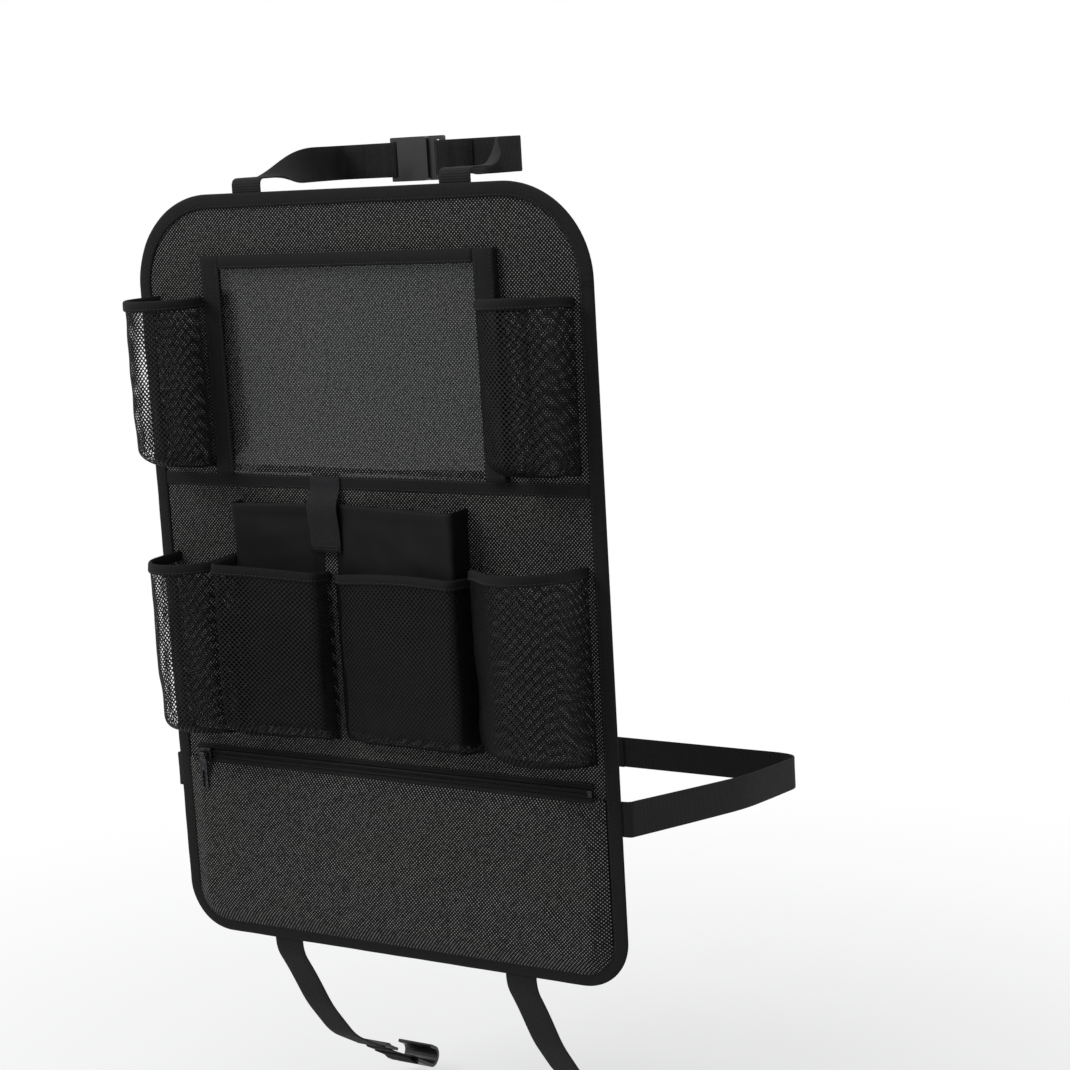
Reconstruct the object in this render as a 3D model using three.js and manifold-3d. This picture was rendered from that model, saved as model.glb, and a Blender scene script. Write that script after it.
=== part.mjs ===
// Car seat back organizer: a padded fabric panel that hangs behind a front seat and carries
// pockets. Millimetres, +Z up. X runs to the right as the rear passenger sees it, the pockets
// face -Y, and the origin is the centre of the panel's back face, which lies on the seat.
import * as THREE from "three";
import { mergeVertices } from "three/addons/utils/BufferGeometryUtils.js";
import Module from "manifold-3d";

const wasm = await Module();
wasm.setup();

// Clearances and steps
const GAP = 0.3; // between a piece and what it rests on or passes
const OVERCUT = 3; // how far a cutter reaches past the face that it opens
const WELD = 1e-4; // points nearer to each other than this are one
const ARC_STEP = THREE.MathUtils.degToRad(24); // turn per step on round plans
const BEND_STEPS = 3; // steps round a bend of webbing
const BEND_SHARE = 0.48; // most of a straight stretch that one bend may take
const LEAST_LEAN = 0.5; // keeps a band's mitre short at a sharp turn
const SMALL_STEPS = 3; // steps round a small moulded corner
const BAR_STEPS = 12; // steps round the slider's bridge and its hole in the pull
const EYE_STEPS = 16; // steps round the pull's eye
const SLOT_STEPS = 6; // steps round half of the pull's slot
const ROUND_STEPS = 8; // steps round half of the pull's end or of a hook

// Panel
const PANEL_W = 450;
const PANEL_H = 660;
const PANEL_T = 3;
const EDGE_T = 1.2; // the padding is pressed to this under the binding and the webbing
const TOP_CORNER_R = 78;
const BOTTOM_CORNER_R = 42;
const CORNER_STEPS = 9;
const CUSHION_STEPS = 5; // of the zipped pocket's foot corners and rolled edge
const MOUTH_STEPS = 2; // of its small top corners

// Tape that binds the panel's edge, and the flat tapes sewn on its face
const BINDING_W = 13;
const BINDING_T = 1.2;
const TAPE_T = 1.2;
const CROSS_TAPE_Z = 415.5; // heights of what is sewn on are measured from the panel's foot
const CROSS_TAPE_W = 11;

// Clear window for a tablet
const WINDOW_LEFT_ROOM = 55.5; // between the panel's outer seam and the window's left edge
const WINDOW_RIGHT_ROOM = 66.5;
const WINDOW_TOP = 610;
const WINDOW_DEPTH = 6; // room for a tablet between film and panel
const WINDOW_TAPE_W = 19;
const WINDOW_HEM_W = 12;
const FILM_T = 0.8;
const FILM_FOOT_RISE = 11; // height over which the film's foot comes forward
const EDGE_TAPE_T = 1;

// Soft pockets
const MESH_T = 1.2;
const CLOTH_T = 1.2;
const HEM_T = 1;
const HEM_H = 9;
const NEIGHBOUR = 4.4; // between the seams of two pockets side by side
const SIDE_GAP = 9; // between the seams of the can pocket and the phone pocket
const BINDING_ROOM = 4.5; // between an outer pocket seam and the binding
const TOE_START = THREE.MathUtils.degToRad(8); // where the rounded foot begins
const TOE_STEPS = 4;

// Bottle pockets beside the window
const BOTTLE_R = 32;
const BOTTLE_AXIS_IN = 31.5; // of a round pocket's axis from the panel's outer seam
const BOTTLE_SEAMS = 43.5; // between a bottle pocket's two seams
const BOTTLE_FOOT = 427;
const BOTTLE_MOUTH = 575;
const BOTTLE_TOE = 22;
const BOTTLE_PULL = 0.5; // share by which the foot draws its sides in

// Lower row of pockets
const ROW_FOOT = 190;
const ROW_MOUTH = 349;
const ROW_TOE = 24;
const ROW_PULL = 0.14;
const CAN_R = 31.5;
const CAN_AXIS_IN = 33.5;
const CAN_SEAMS = 61.5;
const PHONE_DEPTH_LEFT = 48;
const PHONE_DEPTH_RIGHT = 27;
const DIVIDER_X = -42; // seam between the two middle pockets
const GLASSES_DEPTH_LEFT = 26;
const GLASSES_DEPTH_RIGHT = 37;
const GLASSES_SLANT = 18; // run of the slanting end by the divider
const CORNER_R = 7; // rounding of a boxy pocket's front edges
const FLASK_R = 36;
const FLASK_AXIS_IN = 34.5;
const FLASK_SEAMS = 102.1;
const FLASK_SIDE_DEPTH = 20;

// Gaps of the mesh: diamonds in staggered rows
const GAP_W = 10;
const GAP_H = 16;
const MESH_COLUMN = 12; // least width that a column of gaps takes
const MESH_ROW = 32; // between the middles of two gaps in a column
const MESH_EDGE = 8; // solid mesh kept under a hem
const MESH_SIDE_DEPTH = 14; // no gap lies nearer to the panel than this

// Cloth pockets behind the middle mesh pockets, and the strap over their mouths
const BEHIND = 3.4; // between a mesh wall and the cloth wall inside it
const CLOTH_FOOT = 197;
const CLOTH_MOUTH = 398;
const CLOTH_TOE = 20;
const TISSUE_DEPTH = 16;
const PAPERS_DEPTH = 27;
const CINCH_DEPTH = 5; // depth that the strap leaves beside the divider
const CINCH_RUN = 17; // how far beside the divider that depth lies
const STRAP_W = 31;
const STRAP_FOOT = 357;
const STRAP_BULGE = 4;
const STRAP_EASE = 1; // between the strap and the cloth where it is sewn down

// Zipped pocket
const ZIP_Z = 166.5;
const ZIP_END_ROOM = 4.5; // between the panel's outer seam and the zip's end
const ZIP_TAPE_W = 8; // each half
const ZIP_TAPE_T = 1;
const ZIP_LIFT = 2.2; // the tapes stand off the panel for the slider's back plate
const ZIP_SEWN = 3; // width of a tape's sewn edge
const CHANNEL = 0.9; // half width of the path between the rows of teeth
const TOOTH_PITCH = 7;
const TOOTH_W = 4.2;
const TOOTH_LAND = 1.9;
const TOOTH_ROOT = 0.6; // share of the land that stands free of the spine
const TOOTH_SPINE = 1;
const TOOTH_T = 1.5;
const STOP_L = 4;
const POCKET_PUFF = 9;
const POCKET_ROLL = 20; // width of the pocket's rolled edge
const POCKET_FOOT_R = 29;
const POCKET_TOP_R = 3;
const FLAT_RISE = 0.1; // a flat sewn edge comes forward by no more than this
const MOUTH_GAP = 1; // the pocket's top edge stands off the panel by this

// Zip slider and its pull
const SLIDER_L = 13;
const SLIDER_PLATE_T = 1.8;
const SLIDER_BACK_T = 1.2;
const SLIDER_PLAY = 0.4;
const SLIDER_FLANGE = 1.6;
const SLIDER_POST = 4;
const BRIDGE_RISE = 3.2;
const BRIDGE_R = 0.8;
const BRIDGE_LEG = 1.6;
const BRIDGE_LEG_HALF = 1.2;
const PULL_L = 33;
const PULL_W = 8;
const PULL_T = 1.2;
const PULL_EYE_R = 1.9;
const PULL_EYE_W = 5;
const PULL_SLOT_W = 3;
const PULL_SLOT_L = 12;

// Webbing and its plastic hardware
const WEB_W = 30;
const WEB_T = 1.5;
const WEB_PLAY = 0.5; // each side of webbing in a slot
const SEWN_L = 28; // length of a webbing end sewn behind the panel
const TAIL_BEND = 1.3;
const TAIL_L = 18; // doubled end beyond a bar
const OVER_RUN = 4; // how far past a bar the two layers stay apart
const CLOSE_RUN = 11; // and where they lie against each other
const BAR_T = 3.5;
const BAR_SLOT = 5.2;
const FRAME_RIM = 3.5;
const BUCKLE_T = 11;
const TONGUE_T = 5;
const TONGUE_SHOULDER = 6;
const TONGUE_CHAMFER = 1;
const ARM_INSET = 3.5; // of the tongue's arms behind its sides
const PRONG_L = 24;
const PRONG_W = 6;
const BARB = 2.6;
const BARB_FROM = 13.2; // from the shoulder to where a barb steps out
const BARB_RISE = 1.2;
const BARB_LAND = 2.4;
const LATCH_FROM = 12; // the socket's side windows, from its mouth
const LATCH_TO = 20.6;
const BUCKLE_PLAY = 0.4;
const SOCKET_L = 31;
const GLIDE_T = 2.6;
const GLIDE_BAR = 3;
const GLIDE_END = 3.5;
const GLIDE_SLOT = 6;
const WEAVE_TOP = 0.7; // how far the webbing's bend lies outside a glide's bar
const WEAVE_LOW = 0.4; // and inside the slot's outer edge
const WEAVE_END = 4;
const HOOK_T = 3.2;
const HOOK_R = 7;
const HOOK_SHANK = 16;
const HOOK_LIP = 9;
const HOOK_NOSE = 1;
const HOOK_STEPS = 10;

// Routes of the webbing as it is worn, in the row frame
const TOP_STRAP_X = 104;
const SEAT_TOP_RISE = 13; // above the panel's top edge
const POST_X = 84;
const POST_Y = 118; // headrest posts stand here
const POST_R = 9;
const TWIST_START_Y = 34;
const TWIST_END_Y = 88;
const TWIST_STEPS = 10;
const HEADREST_RISE = 21;
const BELT_Z = 146;
const BELT_DROP = 52;
const BELT_REACH = 342;
const BELT_BULGE = 14;
const BELT_BOW = [[0.3, 0.6], [0.55, 1], [0.8, 0.5]]; // shares of the reach and of the bulge
const BELT_CORNER = 62;
const BELT_STAND = 8; // beyond the panel's side edge
const BELT_TURN = 6; // bend beside the panel's edge
const BELT_GLIDE_X = 112;
const BELT_STEPS = 4;
const BOTTOM_STRAP_X = 121;
const FOOT_ROUTE = [[15, -38], [37, -78], [70, -120], [104, -142]]; // y and height
const FOOT_DROP = 13; // the webbing runs on flat below the panel by this
const FOOT_TURN = 10;
const FOOT_BEND = 14;
const FOOT_GLIDE_RUN = 18;
const FOOT_HOOK_RUN = 52;

const FACE = -PANEL_T; // y of the panel's front face
const BED = FACE + EDGE_T; // y of the pressed back that the binding and the webbing lie on
const BACK_LAY = -WEB_T / 2; // y of webbing whose back is flush with the panel's back
const INNER_EDGE = PANEL_W / 2 - BINDING_W; // x of the binding's inner edge
const OUTER_SEAM = INNER_EDGE - BINDING_ROOM; // x of the outermost pocket seams

// Height above the panel's foot, in the row frame.
function up(height) {
  return height - PANEL_H / 2;
}

function vec2(a, b) {
  return new THREE.Vector2(a, b);
}

function vec3(a, b, c) {
  return new THREE.Vector3(a, b, c);
}

const X = vec3(1, 0, 0);
const Y = vec3(0, 1, 0);
const Z = vec3(0, 0, 1);

// Solids and meshes

function toSolid(geometry) {
  const bare = geometry.clone();
  bare.deleteAttribute("normal");
  bare.deleteAttribute("uv");
  const merged = mergeVertices(bare, WELD);
  return new wasm.Manifold(new wasm.Mesh({
    numProp: 3,
    vertProperties: Float32Array.from(merged.attributes.position.array),
    triVerts: Uint32Array.from(merged.index.array),
  }));
}

function toGeometry(solid) {
  const mesh = solid.getMesh();
  const geometry = new THREE.BufferGeometry();
  geometry.setAttribute("position", new THREE.BufferAttribute(mesh.vertProperties, 3));
  geometry.setIndex(new THREE.BufferAttribute(mesh.triVerts, 1));
  return geometry;
}

function cut(body, ...tools) {
  return toGeometry(tools.reduce((left, tool) => left.subtract(toSolid(tool)), toSolid(body)));
}

function join(first, ...rest) {
  return toGeometry(rest.reduce((sum, piece) => sum.add(toSolid(piece)), toSolid(first)));
}

const organizer = new THREE.Group();

function addMesh(name, geometry, material) {
  const mesh = new THREE.Mesh(geometry, material);
  mesh.name = name;
  organizer.add(mesh);
  return mesh;
}

// Profiles drawn in a plane and run along the axis that is square to it

const ALONG_X = new THREE.Matrix4().makeBasis(vec3(0, 1, 0), vec3(0, 0, 1), vec3(1, 0, 0));
const ALONG_Y = new THREE.Matrix4().makeBasis(vec3(0, 0, 1), vec3(1, 0, 0), vec3(0, 1, 0));

function prism(points, low, high, holes = []) {
  const shape = new THREE.Shape(THREE.ShapeUtils.isClockWise(points) ? [...points].reverse() : points);
  for (const hole of holes) shape.holes.push(new THREE.Path(hole));
  const geometry = new THREE.ExtrudeGeometry(shape, { depth: high - low, bevelEnabled: false });
  return geometry.translate(0, 0, low);
}

// Points are (y, z).
function alongX(points, low, high, holes) {
  return prism(points, low, high, holes).applyMatrix4(ALONG_X);
}

// Points are (x, z).
function alongY(points, low, high, holes = []) {
  const turn = (list) => list.map((p) => vec2(p.y, p.x));
  return prism(turn(points), low, high, holes.map(turn)).applyMatrix4(ALONG_Y);
}

function rectangle(x0, x1, y0, y1) {
  return [vec2(x0, y0), vec2(x1, y0), vec2(x1, y1), vec2(x0, y1)];
}

function block(x0, x1, y0, y1, z0, z1) {
  return prism(rectangle(x0, x1, y0, y1), z0, z1);
}

function arc(centre, radius, from, to, steps) {
  return Array.from({ length: steps + 1 }, (_, i) => {
    const angle = from + ((to - from) * i) / steps;
    return vec2(centre.x + radius * Math.cos(angle), centre.y + radius * Math.sin(angle));
  });
}

function roundedRectangle(x0, x1, y0, y1, radius, steps = SMALL_STEPS) {
  const q = Math.PI / 2;
  return [
    ...arc(vec2(x1 - radius, y1 - radius), radius, 0, q, steps),
    ...arc(vec2(x0 + radius, y1 - radius), radius, q, 2 * q, steps),
    ...arc(vec2(x0 + radius, y0 + radius), radius, 2 * q, 3 * q, steps),
    ...arc(vec2(x1 - radius, y0 + radius), radius, 3 * q, 4 * q, steps),
  ];
}

// A closed body through a stack of sections with the same number of points.
function stack(sections) {
  const count = sections[0].points.length;
  const clockwise = THREE.ShapeUtils.isClockWise(sections[0].points);
  const rings = sections.map(({ level, points }) => {
    const ring = clockwise ? [...points].reverse() : points;
    return ring.map((p) => [p.x, p.y, level]);
  });
  const positions = rings.flat(2);
  const index = [];
  for (let k = 0; k + 1 < rings.length; k += 1) {
    for (let i = 0; i < count; i += 1) {
      const a = k * count + i;
      const b = k * count + ((i + 1) % count);
      index.push(a, b, b + count, a, b + count, a + count);
    }
  }
  const flat = (ring) => ring.map(([x, y]) => vec2(x, y));
  const last = (rings.length - 1) * count;
  for (const [a, b, c] of THREE.ShapeUtils.triangulateShape(flat(rings[0]), [])) {
    index.push(a, c, b);
  }
  for (const [a, b, c] of THREE.ShapeUtils.triangulateShape(flat(rings.at(-1)), [])) {
    index.push(last + a, last + b, last + c);
  }
  const geometry = new THREE.BufferGeometry();
  geometry.setAttribute("position", new THREE.Float32BufferAttribute(positions, 3));
  geometry.setIndex(index);
  return geometry;
}

// Outline of the panel, drawn in by an inset. A negative inset draws it out.
function panelOutline(inset) {
  const half = PANEL_W / 2 - inset;
  const high = PANEL_H / 2 - inset;
  const top = TOP_CORNER_R - inset;
  const foot = BOTTOM_CORNER_R - inset;
  const q = Math.PI / 2;
  return [
    ...arc(vec2(half - top, high - top), top, 0, q, CORNER_STEPS),
    ...arc(vec2(top - half, high - top), top, q, 2 * q, CORNER_STEPS),
    ...arc(vec2(foot - half, foot - high), foot, 2 * q, 3 * q, CORNER_STEPS),
    ...arc(vec2(half - foot, foot - high), foot, 3 * q, 4 * q, CORNER_STEPS),
  ];
}

// Webbing: a flat band swept along a route

// Rounds each inner corner of a route with a bend that starts `radius` before it.
// A first corner may have a radius of its own.
function rounded(points, radius, steps = BEND_STEPS, firstRadius = radius) {
  const route = [points[0].clone()];
  for (let i = 1; i + 1 < points.length; i += 1) {
    const [before, corner, after] = [points[i - 1], points[i], points[i + 1]];
    const most = i === 1 ? firstRadius : radius;
    const reach = (end) => Math.min(most, corner.distanceTo(end) * BEND_SHARE);
    const start = corner.clone().lerp(before, reach(before) / corner.distanceTo(before));
    const end = corner.clone().lerp(after, reach(after) / corner.distanceTo(after));
    const bend = new THREE.QuadraticBezierCurve3(start, corner, end);
    route.push(...bend.getPoints(steps));
  }
  route.push(points.at(-1).clone());
  return route;
}

// widthAt gives the direction of the band's width for a point's number and tangent.
function band(route, widthAt, width = WEB_W, thickness = WEB_T) {
  const positions = [];
  const index = [];
  route.forEach((point, i) => {
    const before = route[Math.max(i - 1, 0)];
    const after = route[Math.min(i + 1, route.length - 1)];
    const into = point.clone().sub(before).normalize();
    const out = after.clone().sub(point).normalize();
    const tangent = into.clone().add(out).normalize();
    const across = widthAt(tangent, i);
    across.addScaledVector(tangent, -across.dot(tangent)).normalize();
    const normal = tangent.clone().cross(across);
    const lean = i === 0 || i === route.length - 1 ? 1 : Math.max(tangent.dot(into), LEAST_LEAN);
    for (const [u, v] of [[-1, -1], [1, -1], [1, 1], [-1, 1]]) {
      const corner = point.clone()
        .addScaledVector(across, (u * width) / 2)
        .addScaledVector(normal, (v * thickness) / 2 / lean);
      positions.push(corner.x, corner.y, corner.z);
    }
  });
  for (let k = 0; k + 1 < route.length; k += 1) {
    for (let i = 0; i < 4; i += 1) {
      const a = 4 * k + i;
      const b = 4 * k + ((i + 1) % 4);
      index.push(a, b, b + 4, a, b + 4, a + 4);
    }
  }
  const end = 4 * (route.length - 1);
  index.push(0, 2, 1, 0, 3, 2, end, end + 1, end + 2, end, end + 2, end + 3);
  const geometry = new THREE.BufferGeometry();
  geometry.setAttribute("position", new THREE.Float32BufferAttribute(positions, 3));
  geometry.setIndex(index);
  return geometry;
}

// Offsets, from a bar's outer edge, of webbing that comes in, passes over the bar, goes down
// its slot and is doubled back: each is the distance away from the piece and to its face.
function tailRoute(barDepth) {
  const over = barDepth / 2 + GAP + WEB_T / 2;
  const close = WEB_T / 2 + GAP / 2;
  const slot = -BAR_T - BAR_SLOT / 2;
  return [
    [CLOSE_RUN, close], [OVER_RUN, over], [slot, over], [slot, -over], [OVER_RUN, -over],
    [CLOSE_RUN, -close], [CLOSE_RUN + TAIL_L, -close],
  ];
}

// Offsets along and above a glide's middle plane for webbing that weaves through it.
function glideRoute() {
  const over = GLIDE_T / 2 + GAP + WEB_T / 2;
  const top = GLIDE_BAR / 2 + WEAVE_TOP;
  const low = GLIDE_BAR / 2 + GLIDE_SLOT - WEAVE_LOW;
  const away = low + GLIDE_END + WEAVE_END;
  return [[-away, -over], [-low, -over], [-top, over], [top, over], [low, -over], [away, -over]];
}

// Materials
const cloth = (color, roughness = 0.9) =>
  new THREE.MeshStandardMaterial({ color, roughness, metalness: 0 });
const woven = cloth(0x2c2c2e);
const tape = cloth(0x141416, 0.85);
const openMesh = cloth(0x1b1b1d);
const plainCloth = cloth(0x161619, 0.8);
const webbing = cloth(0x17171a, 0.85);
const clear = new THREE.MeshStandardMaterial({
  color: 0xdfe3e6, roughness: 0.15, metalness: 0, transparent: true, opacity: 0.3,
});
const moulded = new THREE.MeshStandardMaterial({ color: 0x121214, roughness: 0.45, metalness: 0 });
const zipMetal = new THREE.MeshStandardMaterial({ color: 0x2a2a2c, roughness: 0.4, metalness: 0.6 });

// Panel, its edge binding and the cross tape

// The panel's back is flat. Beds for the binding and for each webbing end are pressed into it,
// so that nothing stands behind it where it lies on the seat.
function webbingBed(x, z, halfX, halfZ) {
  return block(x - halfX, x + halfX, BED, OVERCUT, z - halfZ, z + halfZ);
}
const bedWidth = WEB_W / 2 + WEB_PLAY;
const bedLength = SEWN_L + WEB_PLAY;
const beltZ = up(BELT_Z);
const beds = [-1, 1].flatMap((side) => [
  webbingBed(side * TOP_STRAP_X, PANEL_H / 2, bedWidth, bedLength),
  webbingBed(side * BOTTOM_STRAP_X, -PANEL_H / 2, bedWidth, bedLength),
  webbingBed((side * PANEL_W) / 2, beltZ, bedLength, bedWidth),
]);
const raised = alongY(panelOutline(BINDING_W + GAP), BED, 0);
addMesh("back_panel", cut(join(alongY(panelOutline(0), FACE, BED), raised), ...beds), woven);

const bindingBack = BED + GAP + BINDING_T;
const bindingOuter = alongY(panelOutline(-GAP - BINDING_T), FACE - GAP - BINDING_T, bindingBack);
const bindingSlot = alongY(panelOutline(-GAP), FACE - GAP, BED + GAP);
const bindingHole = alongY(panelOutline(BINDING_W), FACE - BINDING_T - OVERCUT, OVERCUT);
addMesh("edge_binding", cut(bindingOuter, bindingSlot, bindingHole, ...beds), tape);

const crossLow = up(CROSS_TAPE_Z - CROSS_TAPE_W / 2);
const crossHigh = up(CROSS_TAPE_Z + CROSS_TAPE_W / 2);
addMesh("cross_tape", block(
  GAP - INNER_EDGE, INNER_EDGE - GAP, FACE - TAPE_T, FACE, crossLow, crossHigh,
), tape);

// Window for a tablet: a clear film that stands off the panel, open at the top

const windowTop = up(WINDOW_TOP);
const windowLeft = WINDOW_LEFT_ROOM - OUTER_SEAM;
const windowRight = OUTER_SEAM - WINDOW_RIGHT_ROOM;
const filmBack = FACE - WINDOW_DEPTH;
const filmFront = filmBack - FILM_T;
const tapeBack = filmFront - GAP;
const tapeFront = tapeBack - EDGE_TAPE_T;
const filmLeft = windowLeft + EDGE_TAPE_T + GAP;
const filmRight = windowRight - EDGE_TAPE_T - GAP;
const filmFoot = crossHigh + GAP;
const filmTop = windowTop - EDGE_TAPE_T - GAP;

addMesh("window_film", alongX([
  vec2(FACE, filmFoot), vec2(filmBack, filmFoot + FILM_FOOT_RISE), vec2(filmBack, filmTop),
  vec2(filmFront, filmTop), vec2(filmFront, filmFoot + FILM_FOOT_RISE - FILM_T / 2),
  vec2(FACE - FILM_T, filmFoot),
], filmLeft, filmRight), clear);

// An edge tape stands on the panel, turns over the film's edge and lies on its front.
function windowSide(name, edge, side) {
  const inner = edge + side * EDGE_TAPE_T;
  const lip = edge + side * WINDOW_TAPE_W;
  const profile = [
    vec2(edge, FACE), vec2(edge, tapeFront), vec2(lip, tapeFront), vec2(lip, tapeBack),
    vec2(inner, tapeBack), vec2(inner, FACE),
  ];
  addMesh(name, prism(profile, filmFoot, windowTop), tape);
}
windowSide("window_tape_left", windowLeft, 1);
windowSide("window_tape_right", windowRight, -1);

const hemBack = filmBack + GAP;
addMesh("window_hem", alongX([
  vec2(tapeFront, windowTop - WINDOW_HEM_W), vec2(tapeBack, windowTop - WINDOW_HEM_W),
  vec2(tapeBack, filmTop + GAP), vec2(hemBack, filmTop + GAP),
  vec2(hemBack, windowTop - WINDOW_HEM_W), vec2(hemBack + EDGE_TAPE_T, windowTop - WINDOW_HEM_W),
  vec2(hemBack + EDGE_TAPE_T, windowTop), vec2(tapeFront, windowTop),
], windowLeft + WINDOW_TAPE_W + GAP, windowRight - WINDOW_TAPE_W - GAP), tape);

// Pockets. A plan is drawn as (x, depth in front of the panel) from the left seam to the
// right one, as a band stretched over pegs.

function wrap(pegs) {
  const turns = [];
  for (let i = 0; i + 1 < pegs.length; i += 1) {
    const [a, b] = [pegs[i], pegs[i + 1]];
    const along = Math.atan2(b.depth - a.depth, b.x - a.x);
    const span = Math.hypot(b.x - a.x, b.depth - a.depth);
    turns.push(along + Math.acos((a.r - b.r) / span));
  }
  const points = [vec2(pegs[0].x, pegs[0].depth)];
  for (let i = 1; i + 1 < pegs.length; i += 1) {
    const steps = Math.max(2, Math.ceil((turns[i - 1] - turns[i]) / ARC_STEP));
    points.push(...arc(vec2(pegs[i].x, pegs[i].depth), pegs[i].r, turns[i - 1], turns[i], steps));
  }
  points.push(vec2(pegs.at(-1).x, pegs.at(-1).depth));
  return points;
}

function peg(x, depth, r = 0) {
  return { x, depth, r };
}

// The plan moved into the pocket by a distance, or out of it where that is negative. Its
// ends are run on behind the panel's face when they are to be trimmed there.
function moved(plan, distance, runOn = false) {
  const points = plan.map((p, i) => {
    const before = plan[Math.max(i - 1, 0)];
    const after = plan[Math.min(i + 1, plan.length - 1)];
    const into = p.clone().sub(before).normalize();
    const out = after.clone().sub(p).normalize();
    const tangent = into.clone().add(out).normalize();
    const lean = i === 0 || i === plan.length - 1 ? 1 : tangent.dot(into);
    return vec2(p.x + (tangent.y * distance) / lean, p.y - (tangent.x * distance) / lean);
  });
  if (!runOn) return points;
  const extend = (end, next) => {
    const slope = (end.x - next.x) / (end.y - next.y);
    return vec2(end.x - slope * (end.y + OVERCUT), -OVERCUT);
  };
  return [extend(points[0], points[1]), ...points.slice(1, -1), extend(points.at(-1), points.at(-2))];
}

function toPanel(points) {
  return points.map((p) => vec2(p.x, FACE - p.y));
}

// Sections of a bag whose foot is rounded over the height of its toe.
function bagSections(plan, { foot, mouth, toe, middle, pull }) {
  const halfDepth = Math.max(...plan.map((p) => p.y)) / 2;
  const sections = [];
  for (let i = 0; i <= TOE_STEPS; i += 1) {
    const angle = TOE_START + ((Math.PI / 2 - TOE_START) * i) / TOE_STEPS;
    const out = Math.sin(angle);
    const level = foot + toe * (1 - Math.cos(angle));
    sections.push({ level, points: toPanel(plan.map((p) => {
      if (p.y <= 0) return p;
      const drawn = pull * (1 - out) * Math.min(1, p.y / halfDepth);
      return vec2(p.x - (p.x - middle) * drawn, p.y * out);
    })) });
  }
  sections.push({ level: mouth, points: toPanel(plan) });
  return sections;
}

function bag(plan, shape) {
  const { wall } = shape;
  const outside = { ...shape, foot: up(shape.foot), mouth: up(shape.mouth) };
  const inside = {
    ...outside, foot: outside.foot + wall, mouth: outside.mouth + OVERCUT, toe: shape.toe - wall,
  };
  return cut(
    stack(bagSections(plan, outside)), stack(bagSections(moved(plan, wall, true), inside)),
  );
}

// A strip that follows the plan between two distances from it.
function strip(plan, outside, inside, low, high) {
  const outline = [...moved(plan, -outside, true), ...moved(plan, inside, true).reverse()];
  return prism(toPanel(outline), low, high);
}

// Tape folded over a pocket's rim.
function hem(plan, wall, mouth) {
  const top = up(mouth) + GAP + HEM_T;
  const low = top - HEM_H;
  const folded = strip(plan, GAP + HEM_T, wall + GAP + HEM_T, low, top);
  const room = strip(plan, GAP, wall + GAP, low - OVERCUT, up(mouth) + GAP);
  const behind = block(-PANEL_W, PANEL_W, FACE, FACE + 2 * OVERCUT, low - OVERCUT, top + OVERCUT);
  return cut(folded, room, behind);
}

// Cutters for the mesh's gaps, square to the wall and in staggered columns. Each column stands
// within one flat of the plan, and none beside the panel.
function meshGaps(plan, { foot, mouth, toe }) {
  const low = up(foot) + toe + GAP_H / 2;
  const high = up(mouth) - HEM_H - MESH_EDGE - GAP_H / 2;
  const cutters = [];
  let column = 0;
  for (let i = 1; i < plan.length; i += 1) {
    const [from, to] = [plan[i - 1], plan[i]];
    const along = to.clone().sub(from).normalize();
    const cells = Math.floor(from.distanceTo(to) / MESH_COLUMN);
    for (let k = 0; k < cells; k += 1, column += 1) {
      const point = from.clone().lerp(to, (k + 1 / 2) / cells);
      if (point.y < MESH_SIDE_DEPTH) continue;
      for (let z = low + (column % 2) * (MESH_ROW / 2); z <= high; z += MESH_ROW) {
        cutters.push(meshGap(point, along, z));
      }
    }
  }
  return cutters;
}

function meshGap(point, along, level) {
  const diamond = [
    vec2(GAP_W / 2, 0), vec2(0, GAP_H / 2), vec2(-GAP_W / 2, 0), vec2(0, -GAP_H / 2),
  ];
  const across = vec3(along.x, -along.y, 0);
  const turn = new THREE.Matrix4().makeBasis(across, Z, across.clone().cross(Z));
  turn.setPosition(point.x, FACE - point.y, level);
  return prism(diamond, -OVERCUT, OVERCUT).applyMatrix4(turn);
}

function meshPocket(name, plan, shape) {
  const walls = bag(plan, { ...shape, wall: MESH_T });
  addMesh(name, cut(walls, ...meshGaps(plan, shape)), openMesh);
  addMesh(`${name}_hem`, hem(plan, MESH_T, shape.mouth), tape);
}

const upperBag = {
  foot: BOTTLE_FOOT, mouth: BOTTLE_MOUTH, toe: BOTTLE_TOE, pull: BOTTLE_PULL,
};
const lowerBag = { foot: ROW_FOOT, mouth: ROW_MOUTH, toe: ROW_TOE, pull: ROW_PULL };

// The distance of a round pocket's axis from the panel, so that what it holds stands clear.
function roundPeg(x, radius) {
  return peg(x, radius + MESH_T, radius);
}

const bottleX = OUTER_SEAM - BOTTLE_AXIS_IN;
const bottleSeam = OUTER_SEAM - BOTTLE_SEAMS;
meshPocket("left_bottle_pocket", wrap([
  peg(-OUTER_SEAM, 0), roundPeg(-bottleX, BOTTLE_R), peg(-bottleSeam, 0),
]), { ...upperBag, middle: -bottleX });
meshPocket("right_bottle_pocket", wrap([
  peg(bottleSeam, 0), roundPeg(bottleX, BOTTLE_R), peg(OUTER_SEAM, 0),
]), { ...upperBag, middle: bottleX });

const canX = CAN_AXIS_IN - OUTER_SEAM;
const canSeam = CAN_SEAMS - OUTER_SEAM;
meshPocket("can_pocket", wrap([
  peg(-OUTER_SEAM, 0), roundPeg(canX, CAN_R), peg(canSeam, 0),
]), { ...lowerBag, middle: canX });

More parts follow.
